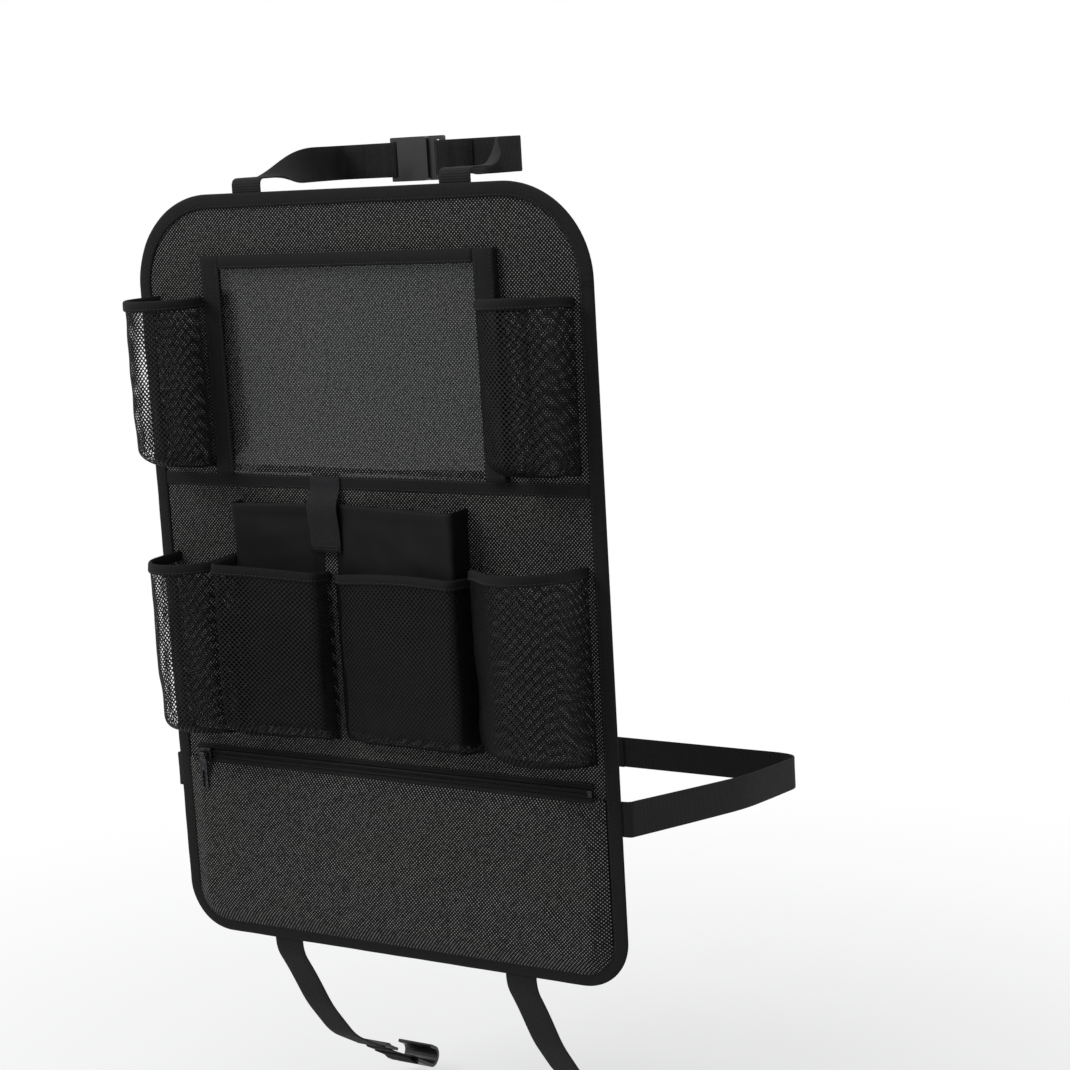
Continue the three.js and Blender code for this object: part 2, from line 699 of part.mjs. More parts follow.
const dividerLeft = DIVIDER_X - NEIGHBOUR / 2;
const dividerRight = DIVIDER_X + NEIGHBOUR / 2;
const phoneSeam = canSeam + SIDE_GAP;
const flaskX = OUTER_SEAM - FLASK_AXIS_IN;
const flaskSeam = OUTER_SEAM - FLASK_SEAMS;
const glassesSeam = flaskSeam - NEIGHBOUR;
meshPocket("phone_pocket", wrap([
  peg(phoneSeam, 0), peg(phoneSeam + CORNER_R, PHONE_DEPTH_LEFT - CORNER_R, CORNER_R),
  peg(dividerLeft - CORNER_R, PHONE_DEPTH_RIGHT - CORNER_R, CORNER_R), peg(dividerLeft, 0),
]), { ...lowerBag, middle: (phoneSeam + dividerLeft) / 2 });

meshPocket("glasses_pocket", wrap([
  peg(dividerRight, 0),
  peg(dividerRight + GLASSES_SLANT + CORNER_R, GLASSES_DEPTH_LEFT - CORNER_R, CORNER_R),
  peg(glassesSeam - CORNER_R, GLASSES_DEPTH_RIGHT - CORNER_R, CORNER_R), peg(glassesSeam, 0),
]), { ...lowerBag, middle: (dividerRight + glassesSeam) / 2 });

meshPocket("flask_pocket", wrap([
  peg(flaskSeam, 0), peg(flaskSeam + CORNER_R, FLASK_SIDE_DEPTH - CORNER_R, CORNER_R),
  roundPeg(flaskX, FLASK_R), peg(OUTER_SEAM, 0),
]), { ...lowerBag, middle: flaskX });

// Two cloth pockets share the divider seam, where a strap keeps their mouths shut

const clothBag = {
  foot: CLOTH_FOOT, mouth: CLOTH_MOUTH, toe: CLOTH_TOE, pull: ROW_PULL, wall: CLOTH_T,
};
const clothCorner = CORNER_R / 2;
const tissueLeft = phoneSeam + BEHIND;
const tissueRight = dividerLeft - BEHIND;
addMesh("tissue_pocket", bag(wrap([
  peg(tissueLeft, 0), peg(tissueLeft + clothCorner, TISSUE_DEPTH - clothCorner, clothCorner),
  peg(DIVIDER_X - CINCH_RUN, CINCH_DEPTH - clothCorner, clothCorner), peg(tissueRight, 0),
]), { ...clothBag, middle: (tissueLeft + tissueRight) / 2 }), plainCloth);

const papersLeft = dividerRight + BEHIND;
const papersRight = glassesSeam - BEHIND;
addMesh("papers_pocket", bag(wrap([
  peg(papersLeft, 0), peg(DIVIDER_X + CINCH_RUN, CINCH_DEPTH - clothCorner, clothCorner),
  peg(papersRight - clothCorner, PAPERS_DEPTH - clothCorner, clothCorner), peg(papersRight, 0),
]), { ...clothBag, middle: (papersLeft + papersRight) / 2 }), plainCloth);

const strapRest = FACE - CINCH_DEPTH - GAP - TAPE_T / 2 - STRAP_EASE;
const strapSewn = FACE - TAPE_T - GAP - TAPE_T / 2;
addMesh("mouth_strap", band(rounded([
  vec3(DIVIDER_X, strapSewn, crossHigh), vec3(DIVIDER_X, strapSewn, crossLow - GAP),
  vec3(DIVIDER_X, strapRest - STRAP_BULGE, up(CLOTH_MOUTH)),
  vec3(DIVIDER_X, strapRest, up(STRAP_FOOT) + STRAP_W / 2), vec3(DIVIDER_X, strapRest, up(STRAP_FOOT)),
], CORNER_R), () => vec3(1, 0, 0), STRAP_W, TAPE_T), tape);

// Zipped pocket over the panel's foot

const zipLine = up(ZIP_Z);
const zipRight = OUTER_SEAM - ZIP_END_ROOM;
const zipLeft = -zipRight;
const zipBack = FACE - ZIP_LIFT;
const zipFront = zipBack - ZIP_TAPE_T;
const toothBack = zipFront - GAP;
const toothFront = toothBack - TOOTH_T;

// Half of the zip's tape: its outer edge is sewn down and the rest stands off the panel.
function zipTape(side, sewnBack) {
  const edge = zipLine + side * ZIP_TAPE_W;
  const step = edge - side * ZIP_SEWN;
  const lip = zipLine + side * CHANNEL;
  const rise = side * ZIP_TAPE_T;
  return alongX([
    vec2(sewnBack, edge), vec2(sewnBack, step), vec2(zipBack, step - rise), vec2(zipBack, lip),
    vec2(zipFront, lip), vec2(zipFront, step), vec2(sewnBack - ZIP_TAPE_T, edge),
  ], zipLeft, zipRight);
}
addMesh("zip_tape_upper", zipTape(1, FACE), tape);

const flangeFront = FACE - MOUTH_GAP - CLOTH_T;
addMesh("zip_tape_lower", zipTape(-1, flangeFront - GAP), tape);

// A row of teeth is a comb along one edge of the path.
function teeth(side) {
  const near = zipLine + side * CHANNEL;
  const root = near + side * TOOTH_LAND * TOOTH_ROOT;
  const spine = root + side * TOOTH_SPINE;
  const left = zipLeft + STOP_L + GAP;
  const right = zipRight - STOP_L - GAP;
  const count = Math.floor((right - left) / TOOTH_PITCH);
  const points = [vec2(left, spine), vec2(left, root)];
  for (let i = 0; i < count; i += 1) {
    const start = left + GAP + i * TOOTH_PITCH;
    points.push(vec2(start, root), vec2(start + GAP, near));
    points.push(vec2(start + TOOTH_W, near), vec2(start + TOOTH_W + GAP, root));
  }
  points.push(vec2(right, root), vec2(right, spine));
  return alongY(points, toothFront, toothBack);
}
addMesh("zip_teeth_upper", teeth(1), moulded);
addMesh("zip_teeth_lower", teeth(-1), moulded);

function zipStop(name, x) {
  const reach = CHANNEL + TOOTH_LAND;
  addMesh(name, block(x, x + STOP_L, toothFront, toothBack, zipLine - reach, zipLine + reach), zipMetal);
}
zipStop("zip_stop_left", zipLeft);
zipStop("zip_stop_right", zipRight - STOP_L);

// The pocket is a low cushion of cloth with a flat sewn edge: its outline is drawn in as it
// comes forward from one depth to another.
function puff(inset, flat, from, to) {
  const outline = (draw) => {
    const [w, t, b] = [pocketHalf - draw, pocketTop - draw, pocketLow + draw];
    const foot = Math.max(POCKET_FOOT_R - draw, POCKET_TOP_R);
    const q = Math.PI / 2;
    return [
      ...arc(vec2(w - POCKET_TOP_R, t - POCKET_TOP_R), POCKET_TOP_R, 0, q, MOUTH_STEPS),
      ...arc(vec2(POCKET_TOP_R - w, t - POCKET_TOP_R), POCKET_TOP_R, q, 2 * q, MOUTH_STEPS),
      ...arc(vec2(foot - w, b + foot), foot, 2 * q, 3 * q, CUSHION_STEPS),
      ...arc(vec2(w - foot, b + foot), foot, 3 * q, 4 * q, CUSHION_STEPS),
    ].map((p) => vec2(p.y, p.x));
  };
  const sections = [{ level: FACE + (from > 0 ? 0 : OVERCUT), points: outline(inset) }];
  if (flat > 0) sections.push({ level: FACE - from, points: outline(inset) });
  for (let i = 0; i <= CUSHION_STEPS; i += 1) {
    const angle = (Math.PI / 2) * (i / CUSHION_STEPS);
    const level = FACE - from - FLAT_RISE - (to - from - FLAT_RISE) * Math.sin(angle);
    sections.push({ level, points: outline(inset + flat + POCKET_ROLL * (1 - Math.cos(angle))) });
  }
  return stack(sections.reverse()).applyMatrix4(ALONG_Y);
}
const pocketTop = zipLine - ZIP_TAPE_W + ZIP_SEWN;
const pocketHalf = INNER_EDGE - GAP;
const pocketLow = BINDING_W + GAP - PANEL_H / 2;
const mouthCut = block(
  zipLeft + BINDING_W, zipRight - BINDING_W, FACE - MOUTH_GAP, FACE + OVERCUT,
  pocketTop - ZIP_SEWN - 2 * CLOTH_T, pocketTop + OVERCUT,
);
addMesh("zip_pocket", cut(
  puff(0, ZIP_SEWN, MOUTH_GAP + CLOTH_T, POCKET_PUFF),
  puff(ZIP_SEWN + CLOTH_T, 0, 0, POCKET_PUFF - CLOTH_T), mouthCut,
), woven);

// Slider, which runs along the rows of teeth, and the pull that hangs from its bridge

const sliderX = zipLeft + STOP_L + GAP + SLIDER_L / 2;
const plateBack = toothFront - SLIDER_PLAY;
const plateFront = plateBack - SLIDER_PLATE_T;
const flangeInner = CHANNEL + TOOTH_LAND * TOOTH_ROOT + TOOTH_SPINE + SLIDER_PLAY;
const flangeOuter = flangeInner + SLIDER_FLANGE;
const backPlateFront = zipBack + SLIDER_PLAY;
const bridgeY = plateFront - BRIDGE_RISE;

function sliderPiece(x0, x1, y0, y1, z0, z1) {
  return block(sliderX + x0, sliderX + x1, y0, y1, zipLine + z0, zipLine + z1);
}

function slider() {
  const half = SLIDER_L / 2;
  const waist = flangeInner + SLIDER_FLANGE / 2;
  const plate = alongY([
    vec2(-half, waist), vec2(-half / 3, flangeOuter), vec2(half, flangeOuter),
    vec2(half, -flangeOuter), vec2(-half / 3, -flangeOuter), vec2(-half, -waist),
  ].map((p) => vec2(p.x + sliderX, p.y + zipLine)), plateFront, plateBack);
  const lip = zipFront - GAP;
  const inPlate = plateBack - SLIDER_PLATE_T / 2;
  const backHalf = ZIP_TAPE_W - ZIP_SEWN - ZIP_TAPE_T - 2 * SLIDER_PLAY;
  const legIn = PULL_EYE_W / 2 + SLIDER_PLAY;
  const bar = new THREE.CylinderGeometry(BRIDGE_R, BRIDGE_R, 2 * legIn + BRIDGE_LEG, BAR_STEPS)
    .rotateZ(Math.PI / 2).translate(sliderX, bridgeY, zipLine);
  const leg = (x) => sliderPiece(
    x, x + BRIDGE_LEG, bridgeY - BRIDGE_R, inPlate, -BRIDGE_LEG_HALF, BRIDGE_LEG_HALF,
  );
  return join(
    plate,
    sliderPiece(-half / 3, half, inPlate, lip, flangeInner, flangeOuter),
    sliderPiece(-half / 3, half, inPlate, lip, -flangeOuter, -flangeInner),
    sliderPiece(-SLIDER_POST / 2, SLIDER_POST / 2, inPlate, backPlateFront + SLIDER_BACK_T / 2,
      SLIDER_PLAY - CHANNEL, CHANNEL - SLIDER_PLAY),
    sliderPiece(-half, half, backPlateFront, backPlateFront + SLIDER_BACK_T, -backHalf, backHalf),
    leg(-legIn - BRIDGE_LEG), leg(legIn), bar,
  );
}
addMesh("zip_slider", slider(), zipMetal);

function pull() {
  const ring = (radius, steps) => arc(vec2(bridgeY, zipLine), radius, 0, 2 * Math.PI, steps).slice(0, -1);
  const eye = alongX(
    ring(PULL_EYE_R, EYE_STEPS), sliderX - PULL_EYE_W / 2, sliderX + PULL_EYE_W / 2,
    [ring(BRIDGE_R + GAP, BAR_STEPS)],
  );
  const neck = PULL_EYE_W / 2;
  const half = PULL_W / 2;
  const from = -(PULL_EYE_R + BRIDGE_R + GAP) / 2;
  const shoulder = -PULL_EYE_R - BRIDGE_R - GAP;
  const end = arc(vec2(0, half - PULL_L), half, 0, -Math.PI, ROUND_STEPS);
  const outline = [
    vec2(-neck, from), vec2(neck, from), vec2(neck, shoulder), vec2(half, shoulder - neck),
    ...end, vec2(-half, shoulder - neck), vec2(-neck, shoulder),
  ];
  const slotHalf = PULL_SLOT_W / 2;
  const slotLow = half - PULL_L;
  const slot = [
    ...arc(vec2(0, slotLow + PULL_SLOT_L), slotHalf, 0, Math.PI, SLOT_STEPS),
    ...arc(vec2(0, slotLow), slotHalf, Math.PI, 2 * Math.PI, SLOT_STEPS),
  ];
  const place = (p) => vec2(p.x + sliderX, p.y + zipLine);
  const plate = alongY(
    outline.map(place), bridgeY - PULL_T / 2, bridgeY + PULL_T / 2, [slot.map(place)],
  );
  return join(eye, plate);
}
addMesh("zip_pull", pull(), zipMetal);

// Plastic hardware for the webbing

const slotHalf = WEB_W / 2 + WEB_PLAY;
const frameHalf = slotHalf + FRAME_RIM;
const barEnd = BAR_T + BAR_SLOT;

// The buckle lies along X about its shoulder: the socket on the left, the tongue on the right.
function tongue() {
  const length = TONGUE_SHOULDER + barEnd;
  const arm = frameHalf - ARM_INSET;
  const chamfered = frameHalf - TONGUE_CHAMFER;
  const barb = -BARB_FROM - BARB_RISE;
  const side = [
    vec2(length, 0), vec2(length, chamfered), vec2(length - TONGUE_CHAMFER, frameHalf),
    vec2(0, frameHalf), vec2(0, arm), vec2(-BARB_FROM, arm), vec2(barb, arm + BARB),
    vec2(barb - BARB_LAND, arm + BARB), vec2(-PRONG_L, arm - BARB), vec2(-PRONG_L, arm - PRONG_W),
    vec2(barb, arm - PRONG_W), vec2(-BARB, arm - PRONG_W + TONGUE_CHAMFER), vec2(-BARB, BARB),
    vec2(BARB - PRONG_L, BARB), vec2(-PRONG_L, 0),
  ];
  const outline = [...side, ...side.slice(1, -1).reverse().map((p) => vec2(p.x, -p.y))];
  const slot = rectangle(TONGUE_SHOULDER, TONGUE_SHOULDER + BAR_SLOT, -slotHalf, slotHalf);
  return alongY(outline, -TONGUE_T / 2, TONGUE_T / 2, [slot]);
}

function socket() {
  const arm = frameHalf - ARM_INSET;
  const shell = alongY(
    roundedRectangle(-SOCKET_L, -BUCKLE_PLAY, -frameHalf, frameHalf, FRAME_RIM),
    -BUCKLE_T / 2, BUCKLE_T / 2,
  );
  const tail = alongY(
    roundedRectangle(
      -SOCKET_L - barEnd, FRAME_RIM * 2 - SOCKET_L, -frameHalf, frameHalf, TONGUE_CHAMFER,
    ),
    -TONGUE_T / 2, TONGUE_T / 2,
    [rectangle(-SOCKET_L - BAR_SLOT, -SOCKET_L, -slotHalf, slotHalf)],
  );
  const room = TONGUE_T / 2 + BUCKLE_PLAY;
  const reach = PRONG_L + BUCKLE_PLAY * 2;
  const cavity = block(-reach, OVERCUT, -room, room, -arm - BUCKLE_PLAY, arm + BUCKLE_PLAY);
  const windows = block(
    -LATCH_TO, -LATCH_FROM, -room, room, -frameHalf - OVERCUT, frameHalf + OVERCUT,
  );
  return cut(join(shell, tail), cavity, windows);
}

function glide() {
  const half = GLIDE_BAR / 2 + GLIDE_SLOT + GLIDE_END;
  const near = GLIDE_BAR / 2;
  const far = near + GLIDE_SLOT;
  return prism(
    roundedRectangle(-frameHalf, frameHalf, -half, half, TONGUE_CHAMFER), -GLIDE_T / 2, GLIDE_T / 2,
    [rectangle(-slotHalf, slotHalf, near, far), rectangle(-slotHalf, slotHalf, -far, -near)],
  );
}

// A J hook whose bar stands at the origin. It reaches along local Y and curls towards +Z.
function hook() {
  const end = barEnd + HOOK_SHANK;
  const half = HOOK_T / 2;
  const centre = vec2(end, half + HOOK_R);
  const top = centre.y + HOOK_R;
  const q = Math.PI / 2;
  const profile = [
    vec2(0, -half), ...arc(centre, HOOK_R + HOOK_T, -q, q, HOOK_STEPS),
    vec2(end - HOOK_LIP, top + HOOK_T),
    vec2(end - HOOK_LIP - HOOK_NOSE, top + half), vec2(end - HOOK_LIP, top),
    ...arc(centre, HOOK_R, q, -q, ROUND_STEPS), vec2(0, half),
  ];
  const slot = block(-slotHalf, slotHalf, BAR_T, barEnd, -HOOK_T, HOOK_T);
  return cut(alongX(profile, -frameHalf, frameHalf), slot);
}

// Webbing routes

function place(origin, along, normal, [distance, height]) {
  return origin.clone().addScaledVector(along, distance).addScaledVector(normal, height);
}

// Webbing doubled back round the bar of a piece whose outer edge is at `origin`.
function doubled(origin, away, normal, barDepth) {
  return tailRoute(barDepth).map((offset) => place(origin, away, normal, offset));
}

const glideLift = GLIDE_T / 2 + GAP + WEB_T / 2;

function addGlide(name, centre, along, normal) {
  const across = along.clone().cross(normal);
  const turn = new THREE.Matrix4().makeBasis(across, along, normal);
  turn.setPosition(place(centre, along, normal, [0, glideLift]));
  addMesh(name, glide().applyMatrix4(turn), moulded);
}

// The stretch of webbing that weaves through a glide.
function throughGlide(centre, along, normal) {
  return glideRoute().map(([a, h]) => place(centre, along, normal, [a, h + glideLift]));
}

function mirrored(points, side) {
  return points.map((p) => vec3(side * p.x, p.y, p.z));
}

const tongueEnd = TONGUE_SHOULDER + barEnd;
const socketEnd = SOCKET_L + barEnd;

// Headrest straps: sewn behind the panel's top edge, laid over the seat's top, turned on edge
// and passed outside and in front of the headrest's posts to a buckle between them.
function headrestStrap(side, barEdge) {
  const seatTop = PANEL_H / 2 + SEAT_TOP_RISE;
  const onEdge = PANEL_H / 2 + HEADREST_RISE;
  const clearOfPost = POST_R + GAP + WEB_T / 2;
  const outside = POST_X + clearOfPost;
  const front = POST_Y + clearOfPost;
  const rise = rounded([
    vec3(TOP_STRAP_X, BACK_LAY, PANEL_H / 2 - SEWN_L), vec3(TOP_STRAP_X, BACK_LAY, seatTop),
    vec3(TOP_STRAP_X, TWIST_START_Y, seatTop),
  ], SEAT_TOP_RISE / 2);
  const twist = new THREE.CubicBezierCurve3(
    rise.at(-1), vec3(TOP_STRAP_X, (TWIST_START_Y + TWIST_END_Y) / 2, seatTop),
    vec3(outside, (TWIST_START_Y + TWIST_END_Y) / 2, onEdge), vec3(outside, TWIST_END_Y, onEdge),
  ).getPoints(TWIST_STEPS);
  const round = rounded([
    vec3(outside, TWIST_END_Y, onEdge), vec3(outside, front, onEdge),
    vec3(outside - POST_R * 2, front, onEdge),
  ], clearOfPost);
  const tail = rounded(
    [round.at(-1), ...doubled(vec3(barEdge, front, onEdge), X, Y, TONGUE_T)], TAIL_BEND,
  ).slice(1);
  const route = mirrored([...rise.slice(0, -1), ...twist.slice(0, -1), ...round, ...tail], side);
  const first = rise.length - 1;
  return band(route, (tangent, i) => {
    const turn = THREE.MathUtils.clamp((i - first) / TWIST_STEPS, 0, 1) * (Math.PI / 2);
    return vec3(Math.cos(turn), 0, Math.sin(turn) * side);
  });
}
addMesh("headrest_strap_left", headrestStrap(-1, socketEnd), webbing);
addMesh("headrest_strap_right", headrestStrap(1, tongueEnd), webbing);

const headrestBuckle = vec3(0, POST_Y + POST_R + GAP + WEB_T / 2, PANEL_H / 2 + HEADREST_RISE);
addMesh("headrest_buckle_socket", socket().translate(...headrestBuckle), moulded);
addMesh("headrest_buckle_tongue", tongue().translate(...headrestBuckle), moulded);

// Seat belt: sewn behind the panel's side edges, round the seat's back and shut in front.
const beltFrontZ = beltZ - BELT_DROP;
const beltEdge = PANEL_W / 2 + BELT_STAND;
const beltGlide = vec3(-BELT_GLIDE_X, BELT_REACH, beltFrontZ);

function seatBelt(side, barEdge, glideAt) {
  const at = (x, y) => vec3(x, y, beltZ - (BELT_DROP * y) / BELT_REACH);
  const start = [
    vec3(PANEL_W / 2 - SEWN_L, BACK_LAY, beltZ), vec3(beltEdge, BACK_LAY, beltZ),
    ...BELT_BOW.map(([reach, bulge]) => at(beltEdge + BELT_BULGE * bulge, BELT_REACH * reach)),
    at(beltEdge, BELT_REACH),
  ];
  const corner = vec3(beltEdge - BELT_CORNER, BELT_REACH, beltFrontZ);
  const weave = glideAt ? throughGlide(glideAt, X, Y) : [];
  const along = mirrored([...start, corner], side);
  const tail = mirrored(doubled(vec3(barEdge, BELT_REACH, beltFrontZ), X, Y, TONGUE_T), side);
  const turn = rounded(along, BELT_CORNER / 2, BELT_STEPS, BELT_TURN);
  const route = [...turn, ...rounded([turn.at(-1), ...weave, ...tail], TAIL_BEND).slice(1)];
  return band(route, () => Z.clone());
}
addMesh("seat_belt_left", seatBelt(-1, socketEnd, beltGlide), webbing);
addMesh("seat_belt_right", seatBelt(1, tongueEnd, null), webbing);
addMesh("seat_belt_buckle_socket", socket().translate(0, BELT_REACH, beltFrontZ), moulded);
addMesh("seat_belt_buckle_tongue", tongue().translate(0, BELT_REACH, beltFrontZ), moulded);
addGlide("seat_belt_glide", beltGlide, X, Y);

// Foot straps: sewn behind the panel's foot, led forward under the seat to a hook each.
function footStrap(name, side) {
  const at = (y, height) => vec3(side * BOTTOM_STRAP_X, y, up(height));
  const along = at(...FOOT_ROUTE.at(-1)).sub(at(...FOOT_ROUTE.at(-2))).normalize();
  const normal = X.clone().cross(along);
  const glideAt = at(...FOOT_ROUTE.at(-1)).addScaledVector(along, FOOT_GLIDE_RUN);
  const bar = glideAt.clone().addScaledVector(along, FOOT_HOOK_RUN);
  const route = [
    at(BACK_LAY, SEWN_L), at(BACK_LAY, -FOOT_DROP),
    ...FOOT_ROUTE.map(([y, height]) => at(y, height)),
  ];
  const laid = rounded(route, FOOT_BEND, BEND_STEPS, FOOT_TURN);
  const weave = throughGlide(glideAt, along, normal);
  const tail = doubled(bar, along.clone().negate(), normal, HOOK_T);
  addMesh(name, band(
    [...laid, ...rounded([laid.at(-1), ...weave, ...tail], TAIL_BEND).slice(1)], () => X.clone(),
  ), webbing);
  addGlide(`${name}_glide`, glideAt, along, normal);
  const turn = new THREE.Matrix4().makeBasis(X, along, normal).setPosition(bar);
  addMesh(`${name}_hook`, hook().applyMatrix4(turn), moulded);
}
footStrap("foot_strap_left", -1);
footStrap("foot_strap_right", 1);

export default organizer;
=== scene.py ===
"""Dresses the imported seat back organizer. Lengths are in millimetres until a mesh is made."""

import math

import bpy
import numpy as np
from mathutils import Matrix, Vector

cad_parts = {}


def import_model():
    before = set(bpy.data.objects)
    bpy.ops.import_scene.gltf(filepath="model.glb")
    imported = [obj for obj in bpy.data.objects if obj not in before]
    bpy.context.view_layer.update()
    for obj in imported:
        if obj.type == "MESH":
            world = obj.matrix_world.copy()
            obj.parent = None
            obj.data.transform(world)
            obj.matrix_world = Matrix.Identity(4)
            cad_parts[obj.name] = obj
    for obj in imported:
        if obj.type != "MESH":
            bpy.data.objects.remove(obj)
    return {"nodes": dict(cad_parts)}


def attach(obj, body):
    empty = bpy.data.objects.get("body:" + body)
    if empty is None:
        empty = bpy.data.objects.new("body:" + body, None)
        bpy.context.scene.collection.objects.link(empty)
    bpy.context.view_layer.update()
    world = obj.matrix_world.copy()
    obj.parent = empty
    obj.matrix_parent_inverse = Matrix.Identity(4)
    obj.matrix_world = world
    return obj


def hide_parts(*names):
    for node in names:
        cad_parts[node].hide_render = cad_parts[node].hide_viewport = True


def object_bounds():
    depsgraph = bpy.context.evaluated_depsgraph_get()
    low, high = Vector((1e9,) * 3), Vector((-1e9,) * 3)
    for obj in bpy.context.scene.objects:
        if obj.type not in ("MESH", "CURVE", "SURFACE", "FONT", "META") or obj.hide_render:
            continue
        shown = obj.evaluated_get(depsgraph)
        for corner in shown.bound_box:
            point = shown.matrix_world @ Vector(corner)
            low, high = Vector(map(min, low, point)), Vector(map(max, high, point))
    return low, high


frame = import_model()
cad_box = [list(corner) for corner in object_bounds()]

MM = 0.001
PANEL_W, PANEL_H, PANEL_T = 450, 660, 3
TOP_R, FOOT_R = 78, 42  # of the panel's corners
FACE = -PANEL_T  # y of the panel's front
GAP = 0.3  # between two sewn pieces
BINDING_W, BINDING_T = 13, 1.2
BINDING_LIP = 11  # width of the binding's front
BED = FACE + 1.2  # y of the pressed back under the binding and the webbing's ends
WEB_W, WEB_T, SEWN_L = 30, 1.5, 28  # webbing, and how far its ends reach over the panel
TOP_STRAP_X, FOOT_STRAP_X, BELT_Z = 104, 121, 146 - PANEL_H / 2
BACK_LAY = -WEB_T / 2  # y of webbing that lies in its bed


def up(height):
    """The frame's z of a height over the panel's foot."""
    return height - PANEL_H / 2


# Numbers and noise

def vec(*numbers):
    return np.array(numbers, float)


def unit(v):
    """A vector, or each row of an array, brought to a length of 1."""
    return v / np.linalg.norm(v, axis=-1, keepdims=True)


def joined(*parts):
    """Points or pairs from their coordinates, which are arrays or numbers."""
    return np.stack(np.broadcast_arrays(*parts), axis=-1)


def smooth(x):
    """A ramp from 0 to 1 with level ends."""
    x = np.clip(x, 0, 1)
    return x * x * (3 - 2 * x)


def waves(a, b, seed, scale, octaves=3):
    """Smooth noise from about -1 to 1 made of crossed waves. It is the same on every run."""
    rng = np.random.default_rng(seed)
    total, size = np.zeros(np.broadcast(a, b).shape), 0.0
    for k in range(octaves):
        for _ in range(4):
            turn = rng.uniform(0, 2 * math.pi)
            wave = 2 * math.pi * 2 ** k / (scale * rng.uniform(0.7, 1.4))
            phase = wave * (a * math.cos(turn) + b * math.sin(turn)) + rng.uniform(0, 6.28)
            total += np.sin(phase) / 2 ** k
        size += 1.5 / 2 ** k
    return total / size


# Meshes

def new_object(name, data):
    thing = bpy.data.objects.new(name, data)
    bpy.context.scene.collection.objects.link(thing)
    return thing


def add_piece(name, points, faces, material, *, replaces=(), uv=None):
    """A mesh from points in millimetres. uv holds one pair, in metres, for each point."""
    mesh = bpy.data.meshes.new(name)
    mesh.from_pydata((np.asarray(points, float) * MM).tolist(), [], [list(map(int, f)) for f in faces])
    mesh.update()
    if uv is not None:
        layer = mesh.uv_layers.new(name="cloth")
        corners = np.zeros(len(mesh.loops), np.int32)
        mesh.loops.foreach_get("vertex_index", corners)
        layer.data.foreach_set("uv", np.asarray(uv, np.float32)[corners].ravel())
    mesh.materials.append(material)
    mesh.polygons.foreach_set("use_smooth", [True] * len(mesh.polygons))
    piece = new_object(name, mesh)
    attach(piece, "organizer")
    if replaces:
        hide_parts(*replaces)
    return piece


def grid_faces(rows, columns, first=0, wrap=False):
    """Quads between rows of points that are numbered from first."""
    faces = []
    for j in range(rows - 1):
        for i in range(columns if wrap else columns - 1):
            a = first + j * columns + i
            b = first + j * columns + (i + 1) % columns
            faces.append((a, b, b + columns, a + columns))
    return faces


def renumbered(faces, first=0, flip=False):
    """The faces with their points numbered from first, and turned over or not."""
    return [tuple(v + first for v in (reversed(f) if flip else f)) for f in faces]


def shell(front, back):
    """Points and faces of a closed sheet from two grids of points, the front one facing out."""
    rows, columns = front.shape[:2]
    count = rows * columns
    faces = grid_faces(rows, columns)
    faces += renumbered(faces, count, flip=True)
    index = np.arange(count).reshape(rows, columns)
    rim = [*index[0], *index[1:, -1], *index[-1, -2::-1], *index[-2:0:-1, 0]]
    faces += [(b, a, a + count, b + count) for a, b in zip(rim, rim[1:] + rim[:1])]
    return np.concatenate([front.reshape(-1, 3), back.reshape(-1, 3)]), faces


def lengths(points):
    """How far along a polyline each of its points lies."""
    return np.concatenate([[0], np.cumsum(np.linalg.norm(np.diff(points, axis=0), axis=1))])


def loft(rings, closed=False):
    """Points, faces and uv of a tube through rings of points, each a closed section."""
    rings = np.asarray(rings, float)
    count, size = rings.shape[:2]
    faces = grid_faces(count, size, wrap=True)
    if closed:
        last = (count - 1) * size
        faces += [(last + i, last + (i + 1) % size, (i + 1) % size, i) for i in range(size)]
    else:
        faces += renumbered([range(size)], flip=True) + renumbered([range(size)], (count - 1) * size)
    uv = joined(lengths(rings[0]), lengths(rings.mean(axis=1))[:, None])
    return rings.reshape(-1, 3), faces, uv.reshape(-1, 2) * MM


def picked(at, run, points):
    """What lies at some lengths along a polyline, between its points."""
    return joined(*(np.interp(at, run, column) for column in points.T))


def respaced(points, step):
    """The polyline's points again, evenly spaced by about a step."""
    points = np.asarray(points, float)
    run = lengths(points)
    at = np.linspace(0, run[-1], max(2, round(run[-1] / step) + 1))
    return picked(at, run, points)


STITCH_L, STITCH_R = 2.3, 0.26
OUT = (0, -1, 0)  # away from the panel's front


class Stitches:
    """Short threads laid along lines, collected into one piece."""

    def __init__(self):
        self.points, self.faces = [], []

    def straight(self, start, end, normal=OUT, step=5, pitch=3.4):
        """A row of stitches between two points of a flat place."""
        route = respaced([start, end], step)
        self.line(route, np.tile(normal, (len(route), 1)), pitch)

    def line(self, route, normals, pitch=3.4):
        """Stitches along a route, each bedded in the surface that the normals stand on."""
        run = lengths(route)
        for start in np.arange(pitch / 2, run[-1] - STITCH_L, pitch):
            at = start + STITCH_L * np.array([0, 0.2, 0.8, 1])
            centre, normal = picked(at, run, route), unit(picked(at, run, normals))
            side = np.cross(unit(centre[-1] - centre[0]), normal)
            size = STITCH_R * np.array([0.35, 1, 1, 0.35])[:, None]
            lift = STITCH_R * np.array([-0.6, 0.5, 0.5, -0.6])[:, None]
            first = len(self.points)
            for k in range(4):
                base = centre[k] + normal[k] * lift[k]
                for a, b in ((1, 0), (0, 1), (-1, 0), (0, -1)):
                    self.points.append(base + size[k] * (a * side[k] + b * normal[k]))
            self.faces += grid_faces(4, 4, first, wrap=True)
            self.faces += renumbered([range(4)], first, flip=True) + renumbered([range(4)], first + 12)


# Materials

